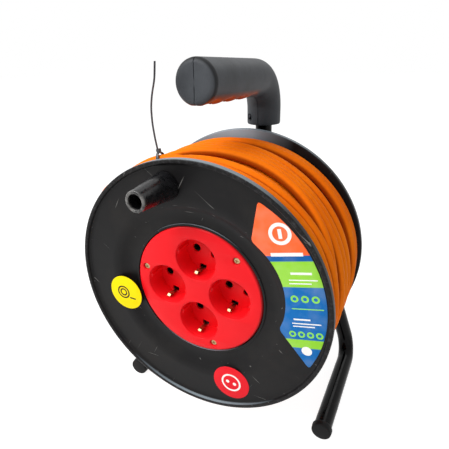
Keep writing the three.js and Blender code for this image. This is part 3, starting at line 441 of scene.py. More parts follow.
# Joins forms into one mesh with its faces outwards.
def make_piece(name, forms, material, sharp=40):
    points, faces = [], []
    for form_points, form_faces in forms:
        start = len(points)
        points += [tuple(p) for p in form_points]
        faces += [tuple(start + i for i in face) for face in form_faces]
    mesh = bpy.data.meshes.new(name)
    mesh.from_pydata([tuple(p) for p in to_row(points)], [], faces)
    shape = bmesh.new()
    shape.from_mesh(mesh)
    bmesh.ops.remove_doubles(shape, verts=shape.verts, dist=2e-7)
    bmesh.ops.recalc_face_normals(shape, faces=shape.faces)
    shape.to_mesh(mesh)
    shape.free()
    mesh.materials.append(material)
    mesh.shade_smooth()
    mesh.set_sharp_from_angle(angle=math.radians(sharp))
    return link_piece(name, mesh)


# Soft PVC, moulded: dull black with a faint even grain from the mould, drawn at 0.8 mm.
def moulded_soft_pvc():
    material, tree, place = start_material("moulded_soft_pvc_black", "#0c0c0d", 0.5, specular=0.14)
    dust = mottled(tree, place, 22, 5, span=(0.45, 0.75), amount=(0, 0.3))
    colour = painted(tree, "#0f0f10", (dust, "#252423"))
    grain = mottled(tree, place, 0.8, 3)
    return finish_material(material, colour, None, grain, strength=0.4, depth=0.1)


# Metal with a bright skin: mirror-like where new, with an unevenness about 0.5 mm across,
# and duller in patches where it has been handled.
def handled_metal(name, colour, dull_colour):
    material, tree, place = start_material(name, colour, 0.3, metallic=1.0)
    tone = painted(tree, colour, (mottled(tree, place, 3, 4), dull_colour))
    gloss = mottled(tree, place, 3, 4, span=(0, 1), amount=(0.18, 0.45))
    uneven = mottled(tree, place, 0.5)
    return finish_material(material, tone, gloss, uneven, strength=0.3, depth=0.02)


def relief_ribs():
    ribs = []
    for i in range(6):
        along = 3 + i * 3.4
        radius = cable_radius + 1.2 + along * 0.07
        ribs += [(radius, along - 1.1), (radius + 1, along - 0.7), (radius + 1, along + 0.7)]
        ribs.append((radius, along + 1.1))
    return ribs


face_at = plug_relief + plug_length
plug_outline = [(0, 0), (cable_radius + 1.1, 0)] + relief_ribs() + soften([
    (plug_radius * 0.45, plug_relief - 0.6), (plug_radius * 0.62, plug_relief + 3, 2),
    (plug_radius * 0.84, plug_relief + 14, 6), (plug_radius - 1.4, plug_relief + 17, 1.5),
    (plug_radius, plug_relief + 20, 1.5), (plug_radius, face_at, 1.6), (0, face_at),
])
soft_pvc = moulded_soft_pvc()
nickel = handled_metal("nickel_plated_brass", "#d9d4c8", "#a8a49a")
plug = make_piece(
    "plug_body_moulded", [turned_form(plug_outline, 72, plug_rear, plug_axis)], soft_pvc,
)
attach(plug, "drum")
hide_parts("plug_body")

pin_outline = soften([
    (0, face_at - 4), (pin_radius, face_at - 4), (pin_radius, face_at + pin_length, 2),
    (0, face_at + pin_length),
])
pins = make_piece("plug_pins", [
    turned_form(pin_outline, 32, plug_rear + Vector((0, side * pin_spacing / 2, 0)), plug_axis)
    for side in (-1, 1)
], nickel)
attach(pins, "drum")
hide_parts("plug_pin_outer", "plug_pin_inner")


# ---- Cable tie -----------------------------------------------------------------------------
# A nylon strap drawn tight round the tail near the flange, its long free end left standing.
tie_angle = 104
tie_spread = 124.5
tie_y = -55.9
tie_width = 2.1
tie_free_end = [
    (-33.6, 138), (-34.8, 150), (-34.6, 162), (-32.6, 172), (-29, 183), (-27.4, 196),
]


# The faces between rings of points, each ring joined to the next, and over both ends.
def ring_faces(rings, count, capped=True):
    faces = []
    for i in range(rings - 1):
        for k in range(count):
            a, b = i * count + k, i * count + (k + 1) % count
            faces.append((a, b, b + count, a + count))
    if capped:
        faces += [tuple(range(count)), tuple(range((rings - 1) * count, rings * count))]
    return faces


# A slab across one spoke of the drum. Its outline runs as [radius, place along the axle].
def slab_form(degrees, outline, half):
    out, across = Vector(ring_point(degrees, 1, 0)), Vector(ring_point(degrees + 90, 1, 0))
    points = [
        out * r + across * step + Vector((0, y, 0)) for step in (-half, half) for r, y in outline
    ]
    return points, ring_faces(2, len(outline))


def headings(line):
    ahead = np.gradient(line, axis=0)
    return ahead / np.linalg.norm(ahead, axis=1)[:, None]


# A flat strip with rounded edges along points in an upright plane, as [x, z].
def strip_form(line, y, width, thickness):
    section = soften([
        (-thickness / 2, -width / 2, 0.3), (thickness / 2, -width / 2, 0.3),
        (thickness / 2, width / 2, 0.3), (-thickness / 2, width / 2, 0.3),
    ], 2)
    points = []
    for (x, z), (ax, az) in zip(line, headings(line)):
        points += [(x - az * across, y + along, z + ax * across) for across, along in section]
    return points, ring_faces(len(line), len(section))


# Nylon, moulded: a hard, slightly waxy skin that greys in patches.
def moulded_nylon():
    material, tree, place = start_material("moulded_nylon_black", "#242426", 0.42)
    return finish_material(
        material, painted(tree, "#2c2c2e", (mottled(tree, place, 9, 4), "#58585c")),
    )


tie_head = soften([
    (tie_spread + 5.2, tie_y - 1.7, 0.5), (tie_spread + 8, tie_y - 1.7, 0.5),
    (tie_spread + 8, tie_y + 1.7, 0.5), (tie_spread + 5.2, tie_y + 1.7, 0.5),
], 3)
band = soften([(4.45, -1.3, 0.3), (5.35, -1.3, 0.3), (5.35, 1.3, 0.3), (4.45, 1.3, 0.3)], 2)
free_start = ring_point(tie_angle, tie_spread + 7.3, 0)
free_line = smooth_line(
    [free_start] + [(x, 0, z) for x, z in tie_free_end], step=2, rounds=4,
)
tie = make_piece("cable_tie_strap", [
    turned_form(
        band, 40, ring_point(tie_angle, tie_spread, tie_y), ring_point(tie_angle + 90, 1, 0),
    ),
    slab_form(tie_angle, tie_head, half=1.4),
    strip_form(free_line[:, ::2], tie_y - 1, tie_width, thickness=0.7),
], moulded_nylon())
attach(tie, "drum")
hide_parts("cable_tie")


# ---- Flanges -------------------------------------------------------------------------------
# Two injection-moulded discs of black ABS with a raised rim and a dished middle. The front one
# has a collar round the socket plate and a stub for the crank knob; the rear one has six ribs
# up to a long hub. They are clamped together through the barrel by four screws.
flange_radius = 125
rear_flange_radius = 126.2
rim_crest = 68
web_face = 64.6
web_back = 61.6
dish_face = 58.6
dish_back = 55.6
hub_radius = 22
hub_end = 90.1
crank_angle = 102.4
crank_spread = 102.4


# An amount that rises from 0 to its most between two levels of a place or facing on one axis.
def zone(tree, vector, axis, start, end, most=1.0):
    level = add_node(tree, "ShaderNodeSeparateXYZ", {0: vector}, out=axis)
    return add_node(
        tree, "ShaderNodeMapRange",
        {"Value": level, "From Min": start, "From Max": end, "To Max": most},
    )


# ABS, moulded: smooth, half matt and very dark, rubbed grey on the rim, with fine pale
# scratches a few centimetres long. Dry dust lies in patches. Upward faces and the inside of the
# rear flange's top, fading to the right, carry a painted highlight in pale blue-grey.
def moulded_abs_black():
    material, tree, place = start_material("moulded_abs_black", "#131214", 0.42, specular=0.17)
    dust = mottled(tree, place, 38, 6, 0.62, (0.46, 0.8), (0, 0.4))
    gloss = mottled(tree, place, 38, 6, 0.62, (0.3, 0.7), (0.34, 0.56))
    scratches = None
    for turn, start in ((0.5, 0.31), (-0.9, 0.77), (1.6, 1.23)):
        drawn = add_node(tree, "ShaderNodeMapping", {
            "Vector": place, "Rotation": (0, turn, 0), "Scale": (1, 1, 28),
            "Location": (start, 0, 0),
        }, vector_type="TEXTURE")
        lines = mottled(tree, drawn, 1.6, 1, span=(0.775, 0.81), amount=(0, 0.45))
        scratches = lines if scratches is None else add_node(
            tree, "ShaderNodeMath", {0: scratches, 1: lines}, operation="MAXIMUM",
        )
    depth = add_node(tree, "ShaderNodeVectorMath", {0: place}, operation="ABSOLUTE")
    worn = add_node(tree, "ShaderNodeMath", {
        0: zone(tree, depth, "Y", (rim_crest - 1.1) * mm, (rim_crest - 0.2) * mm),
        1: mottled(tree, place, 4, 5, 0.7, (0.5, 0.72), (0, 0.2)),
    }, operation="MULTIPLY")
    facing = add_node(tree, "ShaderNodeTexCoord", out="Normal")
    # Painted highlight inside the top of the rear flange, fading out towards the right.
    inside_top_highlight = zone(tree, place, "Z", 92 * mm, 122 * mm)
    for vector, axis, start, end in (
        (place, "X", 50 * mm, 5 * mm), (place, "Y", 55 * mm, 56 * mm), (facing, "Y", -0.4, -0.8),
    ):
        inside_top_highlight = add_node(
            tree, "ShaderNodeMath", {0: inside_top_highlight, 1: zone(tree, vector, axis, start, end)},
            operation="MULTIPLY",
        )
    # Painted highlight on upward faces, joined with the one inside the rear flange's top.
    painted_highlight = add_node(
        tree, "ShaderNodeMath", {0: zone(tree, facing, "Z", 0.72, 1, 0.8), 1: inside_top_highlight},
        operation="MAXIMUM",
    )
    colour = painted(
        tree, "#100f10", (dust, "#312e2b"), (scratches, "#9a9894"), (worn, "#77767a"),
        (painted_highlight, "#98a5ae"),
    )
    height = add_node(
        tree, "ShaderNodeMath", {0: scratches, 1: -1.5, 2: mottled(tree, place, 1.2, 3)},
        operation="MULTIPLY_ADD",
    )
    return finish_material(material, colour, gloss, height, strength=0.35, depth=0.05)


def flange_outside(radius):
    return [
        (radius, rim_crest - 6.4, 1), (radius, rim_crest, 1.4),
        (radius - 3.6, rim_crest, 1.1), (radius - 4.4, web_face, 1.6),
        (90, web_face, 5), (84, 63.2, 5), (79.5, 60.4, 5), (74, dish_face, 4),
    ]


def flange_inside(radius):
    return [(73, dish_back, 3), (81.5, 58, 4), (87, web_back, 3), (radius - 2, web_back)]


def mirrored(outline):
    return [(corner[0], -corner[1], *corner[2:]) for corner in outline]


abs_black = moulded_abs_black()
crank_place = Vector(ring_point(crank_angle, crank_spread, 0))
front_outline = soften(mirrored(flange_outside(flange_radius)) + [
    (66.5, -dish_face, 0.6), (66.5, -60, 0.6), (64.5, -60, 0.4), (64.5, -55.1),
    (57.5, -55.1), (57.5, -52.1), (68.7, -52.1), (68.7, -dish_back),
] + mirrored(flange_inside(flange_radius)))
stub = soften([(0, -web_face + 1), (4.6, -web_face + 1), (4.6, -79.6, 0.5), (0, -79.6)])
front = make_piece(
    "front_flange_moulded",
    [turned_form(front_outline, 192), turned_form(stub, 40, crank_place)], abs_black, sharp=30,
)
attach(front, "drum")
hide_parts("front_flange")

rear_outline = soften(flange_outside(rear_flange_radius) + [
    (hub_radius, dish_face, 1.5), (hub_radius, hub_end, 1.5), (9.3, hub_end, 0.4),
    (9.3, dish_back, 0.4),
] + flange_inside(rear_flange_radius))
hub_rib = [(20, 57.6), (64, 57.6), (64, 60.6), (25, 85.3), (20, 85.3)]
rear = make_piece("rear_flange_moulded", [
    turned_form(rear_outline, 192),
    *[slab_form(30 + 60 * i, hub_rib, half=1.5) for i in range(6)],
], abs_black, sharp=30)
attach(rear, "drum")
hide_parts("rear_flange")


# ---- Socket plate --------------------------------------------------------------------------
# The round face of the hub, moulded in red thermoplastic: four earthed sockets, each a round
# cup with two pin holes in its floor, a guide rib on either side and a slot for the earth
# clip above and below.
plate_radius = 64.2
plate_face = -60.4
plate_back = -55.4
socket_spread = 32.3
cup_inside = 19.9
cup_outside = 21.4
cup_floor = -40.9
pin_tilt = -12
pin_hole = 4
slot_corners = [(-3.4, 19.4), (3.4, 19.4), (3.4, 14.6), (-3.4, 14.6)]
socket_angles = {"right": 0, "top": 90, "left": 180, "bottom": 270}
screw_spread = 56
screw_well = 3
well_radius = 3.4
screw_angles = (45, 165, 285)


# Red thermoplastic, moulded: saturated and satin, even in colour, with the faint ripple of
# the mould every 9 mm, and painted shade, dark red, on the plate's rounded edge where it faces
# right.
def moulded_red():
    material, tree, place = start_material(
        "moulded_thermoplastic_red", "#f4161f", 0.34, specular=0.15,
    )
    far_out = add_node(tree, "ShaderNodeVectorMath", {0: place, 1: (1, 0, 1)}, operation="MULTIPLY")
    far_out = add_node(tree, "ShaderNodeVectorMath", {0: far_out}, operation="LENGTH", out="Value")
    edge = add_node(tree, "ShaderNodeMapRange", {
        "Value": far_out, "From Min": (plate_radius - 3.6) * mm,
        "From Max": (plate_radius - 2.6) * mm,
    })
    facing = add_node(tree, "ShaderNodeTexCoord", out="Normal")
    # Painted shade: dark red on the plate's rounded edge, only where it faces right.
    grime_and_shade = add_node(
        tree, "ShaderNodeMath", {0: edge, 1: zone(tree, facing, "X", 0.15, 0.6, 0.8)},
        operation="MULTIPLY",
    )
    broad = mottled(tree, place, 30, 3)
    colour = painted(tree, "#e51019", (broad, "#f61b25"), (grime_and_shade, "#6c050a"))
    gloss = mottled(tree, place, 9, span=(0, 1), amount=(0.28, 0.42))
    ripple = mottled(tree, place, 9)
    return finish_material(material, colour, gloss, ripple, strength=0.25, depth=0.1)


# A flat plate facing forwards: its loops run as [x, z], the outside first and then the
# holes. Its front edges are rounded, the outside's and the holes' by their own amounts.
def plate_form(loops, front, back, edges=(0, 0), steps=3):
    points, faces, caps = [], [], ([], [])
    for number, loop in enumerate(loops):
        loop = np.array(loop, float)
        x, z = loop.T
        area = np.sum(x * np.roll(z, -1) - np.roll(x, -1) * z)
        if (area > 0) == (number > 0):
            loop = loop[::-1]
        ahead = np.roll(loop, -1, axis=0) - np.roll(loop, 1, axis=0)
        ahead /= np.linalg.norm(ahead, axis=1)[:, None]
        inward = np.stack([-ahead[:, 1], ahead[:, 0]], axis=1)
        edge = edges[min(number, 1)]
        angles = [math.pi / 2 * k / steps for k in range(steps + 1)] if edge else [0]
        rows = [(edge * (1 - math.sin(a)), front + edge * (1 - math.cos(a))) for a in angles]
        rows.append((0, back))
        count, start = len(loop), len(points)
        for inset, y in rows:
            points += [(px, y, pz) for px, pz in loop + inward * inset]
        for face in ring_faces(len(rows), count, capped=False):
            faces.append(tuple(start + i for i in face))
        caps[0].append(list(range(start, start + count)))
        caps[1].append(list(range(len(points) - count, len(points))))
    for cap in caps:
        flat = [index for ring in cap for index in ring]
        outlines = [[Vector((points[i][0], points[i][2], 0)) for i in ring] for ring in cap]
        faces += [tuple(flat[i] for i in corner) for corner in tessellate_polygon(outlines)]
    return points, faces


def circle_loop(radius, x=0.0, z=0.0, count=64):
    angles = [2 * math.pi * k / count for k in range(count)]
    return [(x + radius * math.cos(a), z + radius * math.sin(a)) for a in angles]


# Points about a middle, turned anticlockwise; a socket's pin holes have its own tilt.
def turned_about(points, x, z, degrees=pin_tilt):
    c, s = math.cos(math.radians(degrees)), math.sin(math.radians(degrees))
    return [(x + a * c - b * s, z + a * s + b * c) for a, b in points]


def cup_loop(x, z):
    points = []
    for degrees in np.arange(0, 360, 2.5):
        aside = min(degrees, abs(degrees - 180), 360 - degrees)
        reach = cup_inside - (1.6 if aside < 6 else 0)
        points.append(ring_point(degrees, reach, 0)[::2])
    return turned_about(points, x, z)


def socket_forms():
    places = [ring_point(angle, socket_spread, 0)[::2] for angle in socket_angles.values()]
    wells = [ring_point(angle, screw_spread, 0)[::2] for angle in screw_angles]
    forms = [plate_form(
        [circle_loop(plate_radius, count=160)]
        + [circle_loop(cup_inside + 0.2, x, z, 96) for x, z in places]
        + [circle_loop(well_radius, x, z, 32) for x, z in wells],
        plate_face, plate_back, edges=(2.6, 0.9),
    )]
    for x, z in wells:
        forms.append(plate_form(
            [circle_loop(well_radius + 0.1, x, z, 32), circle_loop(1.6, x, z, 24)],
            plate_face + screw_well, plate_back - 0.2,
        ))
    for x, z in places:
        forms.append(plate_form(
            [circle_loop(cup_outside, x, z, 96), cup_loop(x, z)],
            plate_face + 2.6, cup_floor + 0.4, edges=(0.4, 0.5),
        ))
        openings = [
            turned_about(circle_loop(pin_hole, side * pin_spacing / 2, 0, 32), x, z)
            for side in (-1, 1)
        ]
        openings += [turned_about(
            [(across, side * up) for across, up in slot_corners], x, z,
        ) for side in (-1, 1)]
        forms.append(plate_form(
            [circle_loop(cup_outside - 0.1, x, z, 96)] + openings,
            cup_floor, cup_floor + 2, edges=(0, 0.3), steps=1,
        ))
    return forms


socket_plate = make_piece("socket_plate_moulded", socket_forms(), moulded_red(), sharp=35)
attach(socket_plate, "drum")
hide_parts("socket_plate", *["socket_cup_" + side for side in socket_angles])


# ---- Earth clips ---------------------------------------------------------------------------
# Two sprung strips of rolled brass in each socket. They rise along the wall of the cup, bend
# over into it and end in a lip that presses on the plug's side.
clip_width = 2.8
clip_thickness = 0.8
# Each bend of the strip, as [distance from the socket's middle, place along the axle].
clip_profile = [
    (18.6, -39.5), (18.8, -49), (18.5, -52.6), (17.3, -54.2), (16.1, -53), (15.9, -50),
    (16.8, -47),
]


def clip_form(x, z, side):
    line = np.array(clip_profile)
    points = []
    for (reach, y), (a, b) in zip(line, headings(line)):
        for across, off in ((-1, -1), (1, -1), (1, 1), (-1, 1)):
            off *= clip_thickness / 2
            flat = [(across * clip_width / 2, side * (reach - b * off))]
            px, pz = turned_about(flat, x, z)[0]
            points.append((px, y + a * off, pz))
    return points, ring_faces(len(line), 4)


brass = handled_metal("rolled_brass", "#e2c79c", "#8a7146")
for side_name, angle in socket_angles.items():
    x, _, z = ring_point(angle, socket_spread, 0)
    clips = make_piece(f"earth_strip_{side_name}", [clip_form(x, z, s) for s in (-1, 1)], brass)
    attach(clips, "drum")
    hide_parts(f"earth_clip_{side_name}")


# ---- Screws --------------------------------------------------------------------------------
# Pan-head screws with a cross recess: three of brass-plated steel hold the socket plate, and
# four larger zinc-plated ones in the rear flange draw the drum together.
def cross_loop(reach, width):
    corners = []
    for quarter in range(4):
        arm = [(width, -width), (reach, -width), (reach, width)]
        corners += turned_about(arm, 0, 0, 90 * quarter)
    return corners


# One screw about the origin: its head faces forwards and its shank runs back.
def screw_forms(head, shank, length):
    return [
        plate_form(
            [circle_loop(head, count=40), cross_loop(head * 0.55, head * 0.13)],
            -head * 0.55, -head * 0.12, edges=(head * 0.3, head * 0.04),
        ),
        plate_form([circle_loop(head, count=40)], -head * 0.14, 0),
        turned_form([(0, -0.1), (shank, -0.1), (shank, length), (0, length)], 20),
    ]


# Sets a copy of a form at each point, turned about its own axis by the point's angle.
def instance_tree(name, material):
    tree, source, inputs = start_tree(name, Places="Geometry", Form="Object", Facing="Float")
    form = add_node(tree, "GeometryNodeObjectInfo", {"Object": source["Form"]}, out="Geometry")
    turn = add_node(
        tree, "GeometryNodeInputNamedAttribute", {"Name": "turn"}, out="Attribute",
        data_type="FLOAT",
    )
    rotation = add_node(tree, "ShaderNodeCombineXYZ", {"Y": turn, "Z": source["Facing"]})
    copies = add_node(tree, "GeometryNodeInstanceOnPoints", {
        "Points": source["Places"], "Instance": form, "Rotation": rotation,
    })
    end_tree(tree, copies, material)
    return tree, inputs


def placed_copies(name, forms, places, turns, facing, material):
    master = make_piece(name + "_form", forms, material, sharp=30)
    master.data.transform(Matrix.Translation(-axle_place))
    mesh = bpy.data.meshes.new(name)
    mesh.from_pydata([tuple(p) for p in to_row(places)], [], [])
    kept = mesh.attributes.new("turn", "FLOAT", "POINT")
    kept.data.foreach_set("value", [math.radians(turn) for turn in turns])
    tree, (_, form_input, facing_input) = instance_tree(name + "_copies", material)
    values = {form_input: master, facing_input: math.radians(facing)}
    piece = run_tree(link_piece(name, mesh), tree, values)
    bpy.data.objects.remove(master)
    return piece


plate_screws = placed_copies(
    "plate_screws", screw_forms(head=3, shank=1.4, length=10),
    [ring_point(angle, screw_spread, plate_face + screw_well) for angle in screw_angles],
    turns=(12, 50, 75), facing=0, material=brass,
)
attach(plate_screws, "drum")
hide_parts("plate_screw_1", "plate_screw_2", "plate_screw_3")

zinc = handled_metal("zinc_plated_steel", "#c4c6c8", "#85878a")
drum_screw_spread = 62
drum_screws = placed_copies(
    "drum_screws", screw_forms(head=3.8, shank=2, length=17),
    [ring_point(angle, drum_screw_spread, dish_face + 0.3) for angle in (20, 110, 200, 290)],
    turns=(5, 40, 70, 20), facing=180, material=zinc,
)
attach(drum_screws, "drum")
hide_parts(*[f"drum_screw_{i}" for i in range(1, 5)])


# ---- Crank knob ----------------------------------------------------------------------------
# A tapered hollow knob of black polypropylene that turns on the flange's stub, held by a
# screw and a washer down its bore. Hands have worn its side shiny and its tip grey.
knob_foot = -65.1
knob_tip = -106.6
knob_shoulder = -79.2


# Polypropylene, moulded with a leather grain about 1.7 mm across: glossy in patches and
# scraped pale round the open tip.
def grained_polypropylene():
    material, tree, place = start_material("grained_polypropylene_black", "#111113", 0.24, ior=1.49)
    cells = add_node(
        tree, "ShaderNodeTexVoronoi", {"Scale": 1 / (1.7 * mm), "Vector": place},
        feature="SMOOTH_F1", out="Distance",
    )
    pale = add_node(tree, "ShaderNodeMath", {
        0: zone(tree, place, "Y", (knob_tip + 2.4) * mm, (knob_tip + 0.4) * mm),
        1: mottled(tree, place, 5, 5, 0.7, (0.38, 0.6), (0, 0.7)),
    }, operation="MULTIPLY")
    specks = mottled(tree, place, 5, 5, 0.7, (0.64, 0.72), (0, 0.22))
    scraped = add_node(tree, "ShaderNodeMath", {0: pale, 1: specks}, operation="MAXIMUM")
    gloss = mottled(tree, place, 5, 5, 0.7, (0.35, 0.65), (0.16, 0.42))
    colour = painted(tree, "#101012", (scraped, "#7d7b78"))
    return finish_material(material, colour, gloss, cells, strength=0.5, depth=0.15)


knob_outline = soften([
    (4.95, knob_foot), (12.8, knob_foot, 0.5), (12.8, knob_foot - 2, 1), (11.6, knob_foot - 9, 3),
    (9.3, knob_tip + 6, 3), (8.9, knob_tip, 1.4), (6.3, knob_tip, 0.7), (6.9, knob_shoulder),
    (4.95, knob_shoulder),
])
knob = make_piece(
    "crank_knob_moulded", [turned_form(knob_outline, 80, crank_place)], grained_polypropylene(),
)
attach(knob, "crank")
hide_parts("crank_knob")


# ---- Stickers ------------------------------------------------------------------------------
# Two round vinyl stickers on the front flange, yellow and red, and a long printed label in
# coloured bands that follows the rim. They carry plain marks only: rings, bars and dots.
sticker_face = -64.65
sticker_radius = 18.5
sticker_thickness = 0.3
yellow_place = ring_point(193.1, 81.6, 0)[::2]
red_place = ring_point(290.8, 97.3, 0)[::2]
# The label's two long edges are arcs, as [centre x, centre z, radius].
label_outer = (13.2, 2.4, 106)
label_inner = (22, 9.1, 62.9)
# Its bands lie on a slant. Each has the height of its lower border, taken where x is 0.
label_slant = 0.22
label_bands = [
    (-48.6, "#96d83c"), (-40.1, "#1a6cb4"), (10.1, "#96d83c"), (33.1, "#1a5fa8"),
    (38.2, "#ff6a36"),
]


# Printed vinyl: flat bright ink under a thin gloss film that lifts slightly in places, and
# pales where it is worn. Further inks are printed in bands, each over the last.
def printed_vinyl(name, base, faded, bands=()):
    material, tree, place = start_material(name, base, 0.45, specular=0.07)
    axes = add_node(tree, "ShaderNodeSeparateXYZ", {0: place}, out=None)
    height = add_node(
        tree, "ShaderNodeMath", {0: axes["X"], 1: -label_slant, 2: axes["Z"]},
        operation="MULTIPLY_ADD",
    )
    inks = [(add_node(tree, "ShaderNodeMapRange", {
        "Value": height, "From Min": (border - 0.3) * mm, "From Max": (border + 0.3) * mm,
    }), ink) for border, ink in bands]
    worn = mottled(tree, place, 14, 4, span=(0.4, 0.8), amount=(0, 0.12))
    colour = painted(tree, base, *inks, (worn, faded))
    lifted = mottled(tree, place, 14, 4)
    return finish_material(material, colour, None, lifted, strength=0.2, depth=0.1)


def arc_points(x, z, radius, start, end, steps):
    return [
        (x + radius * math.cos(a), z + radius * math.sin(a))
        for a in np.radians(np.linspace(start, end, steps + 1))
    ]


def sheet_form(loop):
    front = sticker_face - sticker_thickness
    return plate_form([loop], front, sticker_face, edges=(0.12, 0))


# Marks stand 0.04 mm proud of the sheet they are printed on.
def mark_form(*loops):
    front = sticker_face - sticker_thickness - 0.04
    return plate_form(loops, front, front + 0.1)


def ring_mark(x, z, inner, outer):
    return mark_form(circle_loop(outer, x, z, 48), circle_loop(inner, x, z, 48))


def bar_mark(x, z, length, width, slant=12):
    half, high = length / 2, width / 2
    corners = [(-half, -high), (half, -high), (half, high), (-half, high)]
    return mark_form(turned_about(corners, x, z, slant))


label_loop = soften(
    arc_points(*label_outer, -22.9, 60, 28) + [(59.8, 97.9, 4), (54.6, 63.8, 3.5)]
    + arc_points(*label_inner, 50, -12.6, 24) + [(80.2, -13.9, 4), (107.7, -46.2, 5)], 6,
)
yellow_vinyl = printed_vinyl("printed_vinyl_yellow", "#fbe105", "#f3dd40")
red_vinyl = printed_vinyl("printed_vinyl_red", "#e8202c", "#e04850")
label_vinyl = printed_vinyl("printed_vinyl_bands", "#1a6cb4", "#e8e4dc", label_bands)
white_ink = printed_vinyl("screen_ink_white", "#f6f4f0", "#e2ded8")
dark_ink = printed_vinyl("screen_ink_dark", "#3a3420", "#57502f")
green_ink = printed_vinyl("screen_ink_green", "#8fdc5a", "#a6e07a")
yellow_x, yellow_z = yellow_place
red_x, red_z = red_place
sheets = {
    "length_sticker": (yellow_vinyl, [sheet_form(circle_loop(sticker_radius, *yellow_place, 96))]),
    "power_sticker": (red_vinyl, [sheet_form(circle_loop(sticker_radius, *red_place, 96))]),
    "side_label": (label_vinyl, [sheet_form(label_loop)]),
}
marks = {
    "length_sticker_rings": (dark_ink, [
        ring_mark(yellow_x - 3, yellow_z, 2.6, 4.2), ring_mark(yellow_x - 3, yellow_z, 5.6, 7.2),
        bar_mark(yellow_x + 7.6, yellow_z - 5, 7, 1.6, -4),
    ]),
    "power_sticker_ring": (white_ink, [
        ring_mark(red_x, red_z, 8.2, 10), mark_form(circle_loop(1.8, red_x - 3.6, red_z + 0.6, 24)),
        mark_form(circle_loop(1.8, red_x + 3.6, red_z - 0.6, 24)),
    ]),
    "side_label_white_marks": (white_ink, [
        ring_mark(78, 74, 6.2, 9.2), bar_mark(78, 74, 3, 8), bar_mark(84, 57.6, 26, 3),
        bar_mark(96, 43.5, 17, 2), bar_mark(98, 38, 23, 1), bar_mark(96, 34.5, 18, 1),
        bar_mark(99, 1.5, 14, 1.4), bar_mark(103, -1.6, 24, 1), bar_mark(101, -4.8, 18, 1),
        mark_form(circle_loop(4.4, 104.7, -28.5, 40)),
    ]),
    "side_label_green_marks": (green_ink, [
        *[ring_mark(92 + 8.4 * i, 19.6 + 1.7 * i, 1.6, 3.2) for i in range(3)],
        bar_mark(103, 12.6, 26, 0.9),
        *[ring_mark(92 + 7.4 * i, -14.6 + 1.5 * i, 1.5, 3) for i in range(4)],
    ]),
}
for name, (ink, forms) in (sheets | marks).items():
    piece = make_piece(name + "_vinyl" if name in sheets else name, forms, ink)
    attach(piece, "drum")
    if name in sheets:
        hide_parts(name)


# ---- Stand ---------------------------------------------------------------------------------
# Two lengths of steel tube in gloss black enamel: one is bent into the two feet, the legs
# and the cross bar, the other is welded onto it and rises to the grip.
tube_radius = 9.2
stand_plane = 109
foot_front = (116, -17.5, -165.9)
foot_heel = (119.5, 124, -167.4)
shoulder = (83.1, stand_plane, -46)
grip_height = 174
grip_tilt = math.radians(2.3)
grip_bend = 34
sleeve_foot = 125
grip_front = -47
post_front = -28
post_foot = -36.5


# Steel under stoved enamel: a thick wet-looking black coat with dull rubs where the reel has
# been dragged, crinkled on the heels' bends, with pale flecks there that stand for small chips
# and for painted glints off the crinkles.
def stoved_enamel():
    material, tree, place = start_material("stoved_enamel_black", "#08080a", 0.2, specular=0.1)
    dull = mottled(tree, place, 17, 6, 0.65, (0.5, 0.72))
    gloss = mottled(tree, place, 17, 6, 0.65, (0.5, 0.72), (0.14, 0.5))
    heel = tuple(abs(step) * mm for step in foot_heel)
    mirrored_place = add_node(tree, "ShaderNodeVectorMath", {0: place}, operation="ABSOLUTE")
    heel_gap = add_node(
        tree, "ShaderNodeVectorMath", {0: mirrored_place, 1: heel}, out="Value",
        operation="DISTANCE",
    )
    near_heel = add_node(
        tree, "ShaderNodeMapRange",
        {"Value": heel_gap, "From Min": 30 * mm, "From Max": 16 * mm},
    )
    crinkle = add_node(
        tree, "ShaderNodeMath", {0: mottled(tree, place, 5, 3), 1: near_heel},
        operation="MULTIPLY",
    )
    # Pale flecks on the heels' bends: small chips and painted glints off the crinkles.
    chips_and_glints = add_node(
        tree, "ShaderNodeMapRange", {"Value": crinkle, "From Min": 0.54, "From Max": 0.58},
    )
    colour = painted(tree, "#040405", (dull, "#100f0f"), (chips_and_glints, "#a39a86"))
    height = add_node(
        tree, "ShaderNodeMath", {0: crinkle, 1: 6, 2: mottled(tree, place, 6)},
        operation="MULTIPLY_ADD",
    )
    return finish_material(material, colour, gloss, height, strength=0.35, depth=0.3)


# A line through corners with a round bend at each, the bends given by radius.
def bent_line(corners, bends, steps=12):
    corners = [Vector(corner) for corner in corners]
    knots = [corners[0]]
    for before, corner, after, bend in zip(corners, corners[1:], corners[2:], bends):
        into, out = (before - corner).normalized(), (after - corner).normalized()
        half = into.angle(out) / 2
        centre = corner + (into + out).normalized() * (bend / math.sin(half))
        first = (corner + into * (bend / math.tan(half)) - centre).normalized()
        last = (corner + out * (bend / math.tan(half)) - centre).normalized()
        for k in range(steps + 1):
            knots.append(centre + first.slerp(last, k / steps).normalized() * bend)
    return [tuple(knot) for knot in knots + [corners[-1]]]


def grip_line(front, foot):
    rise = (stand_plane - front) * math.tan(grip_tilt)
    elbow = (0, stand_plane, grip_height)
    return bent_line([(0, front, grip_height + rise), elbow, (0, stand_plane, foot)], [grip_bend])


enamel = stoved_enamel()
right_side = [foot_front, foot_heel, shoulder]
left_side = [(-x, y, z) for x, y, z in reversed(right_side)]
foot_line = bent_line(right_side + left_side, bends=[24, 30, 30, 24])
feet = swept("foot_tube_bent", to_row(foot_line), tube_radius, sides=32, material=enamel)
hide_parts("foot_tube")
post_line = grip_line(post_front, post_foot)
post = swept("post_tube_bent", to_row(post_line), tube_radius, sides=32, material=enamel)
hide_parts("post_tube")
weld = make_piece("post_weld", [turned_form(
    soften([(7, -3, 1), (11.4, -3.4, 1.6), (9.8, 2.4, 1.2), (7, 2.4, 1)]), 48,
    (0, stand_plane, post_foot + 1), (0, 0, 1),
)], enamel)
for tube in (feet, post, weld):
    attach(tube, "stand")


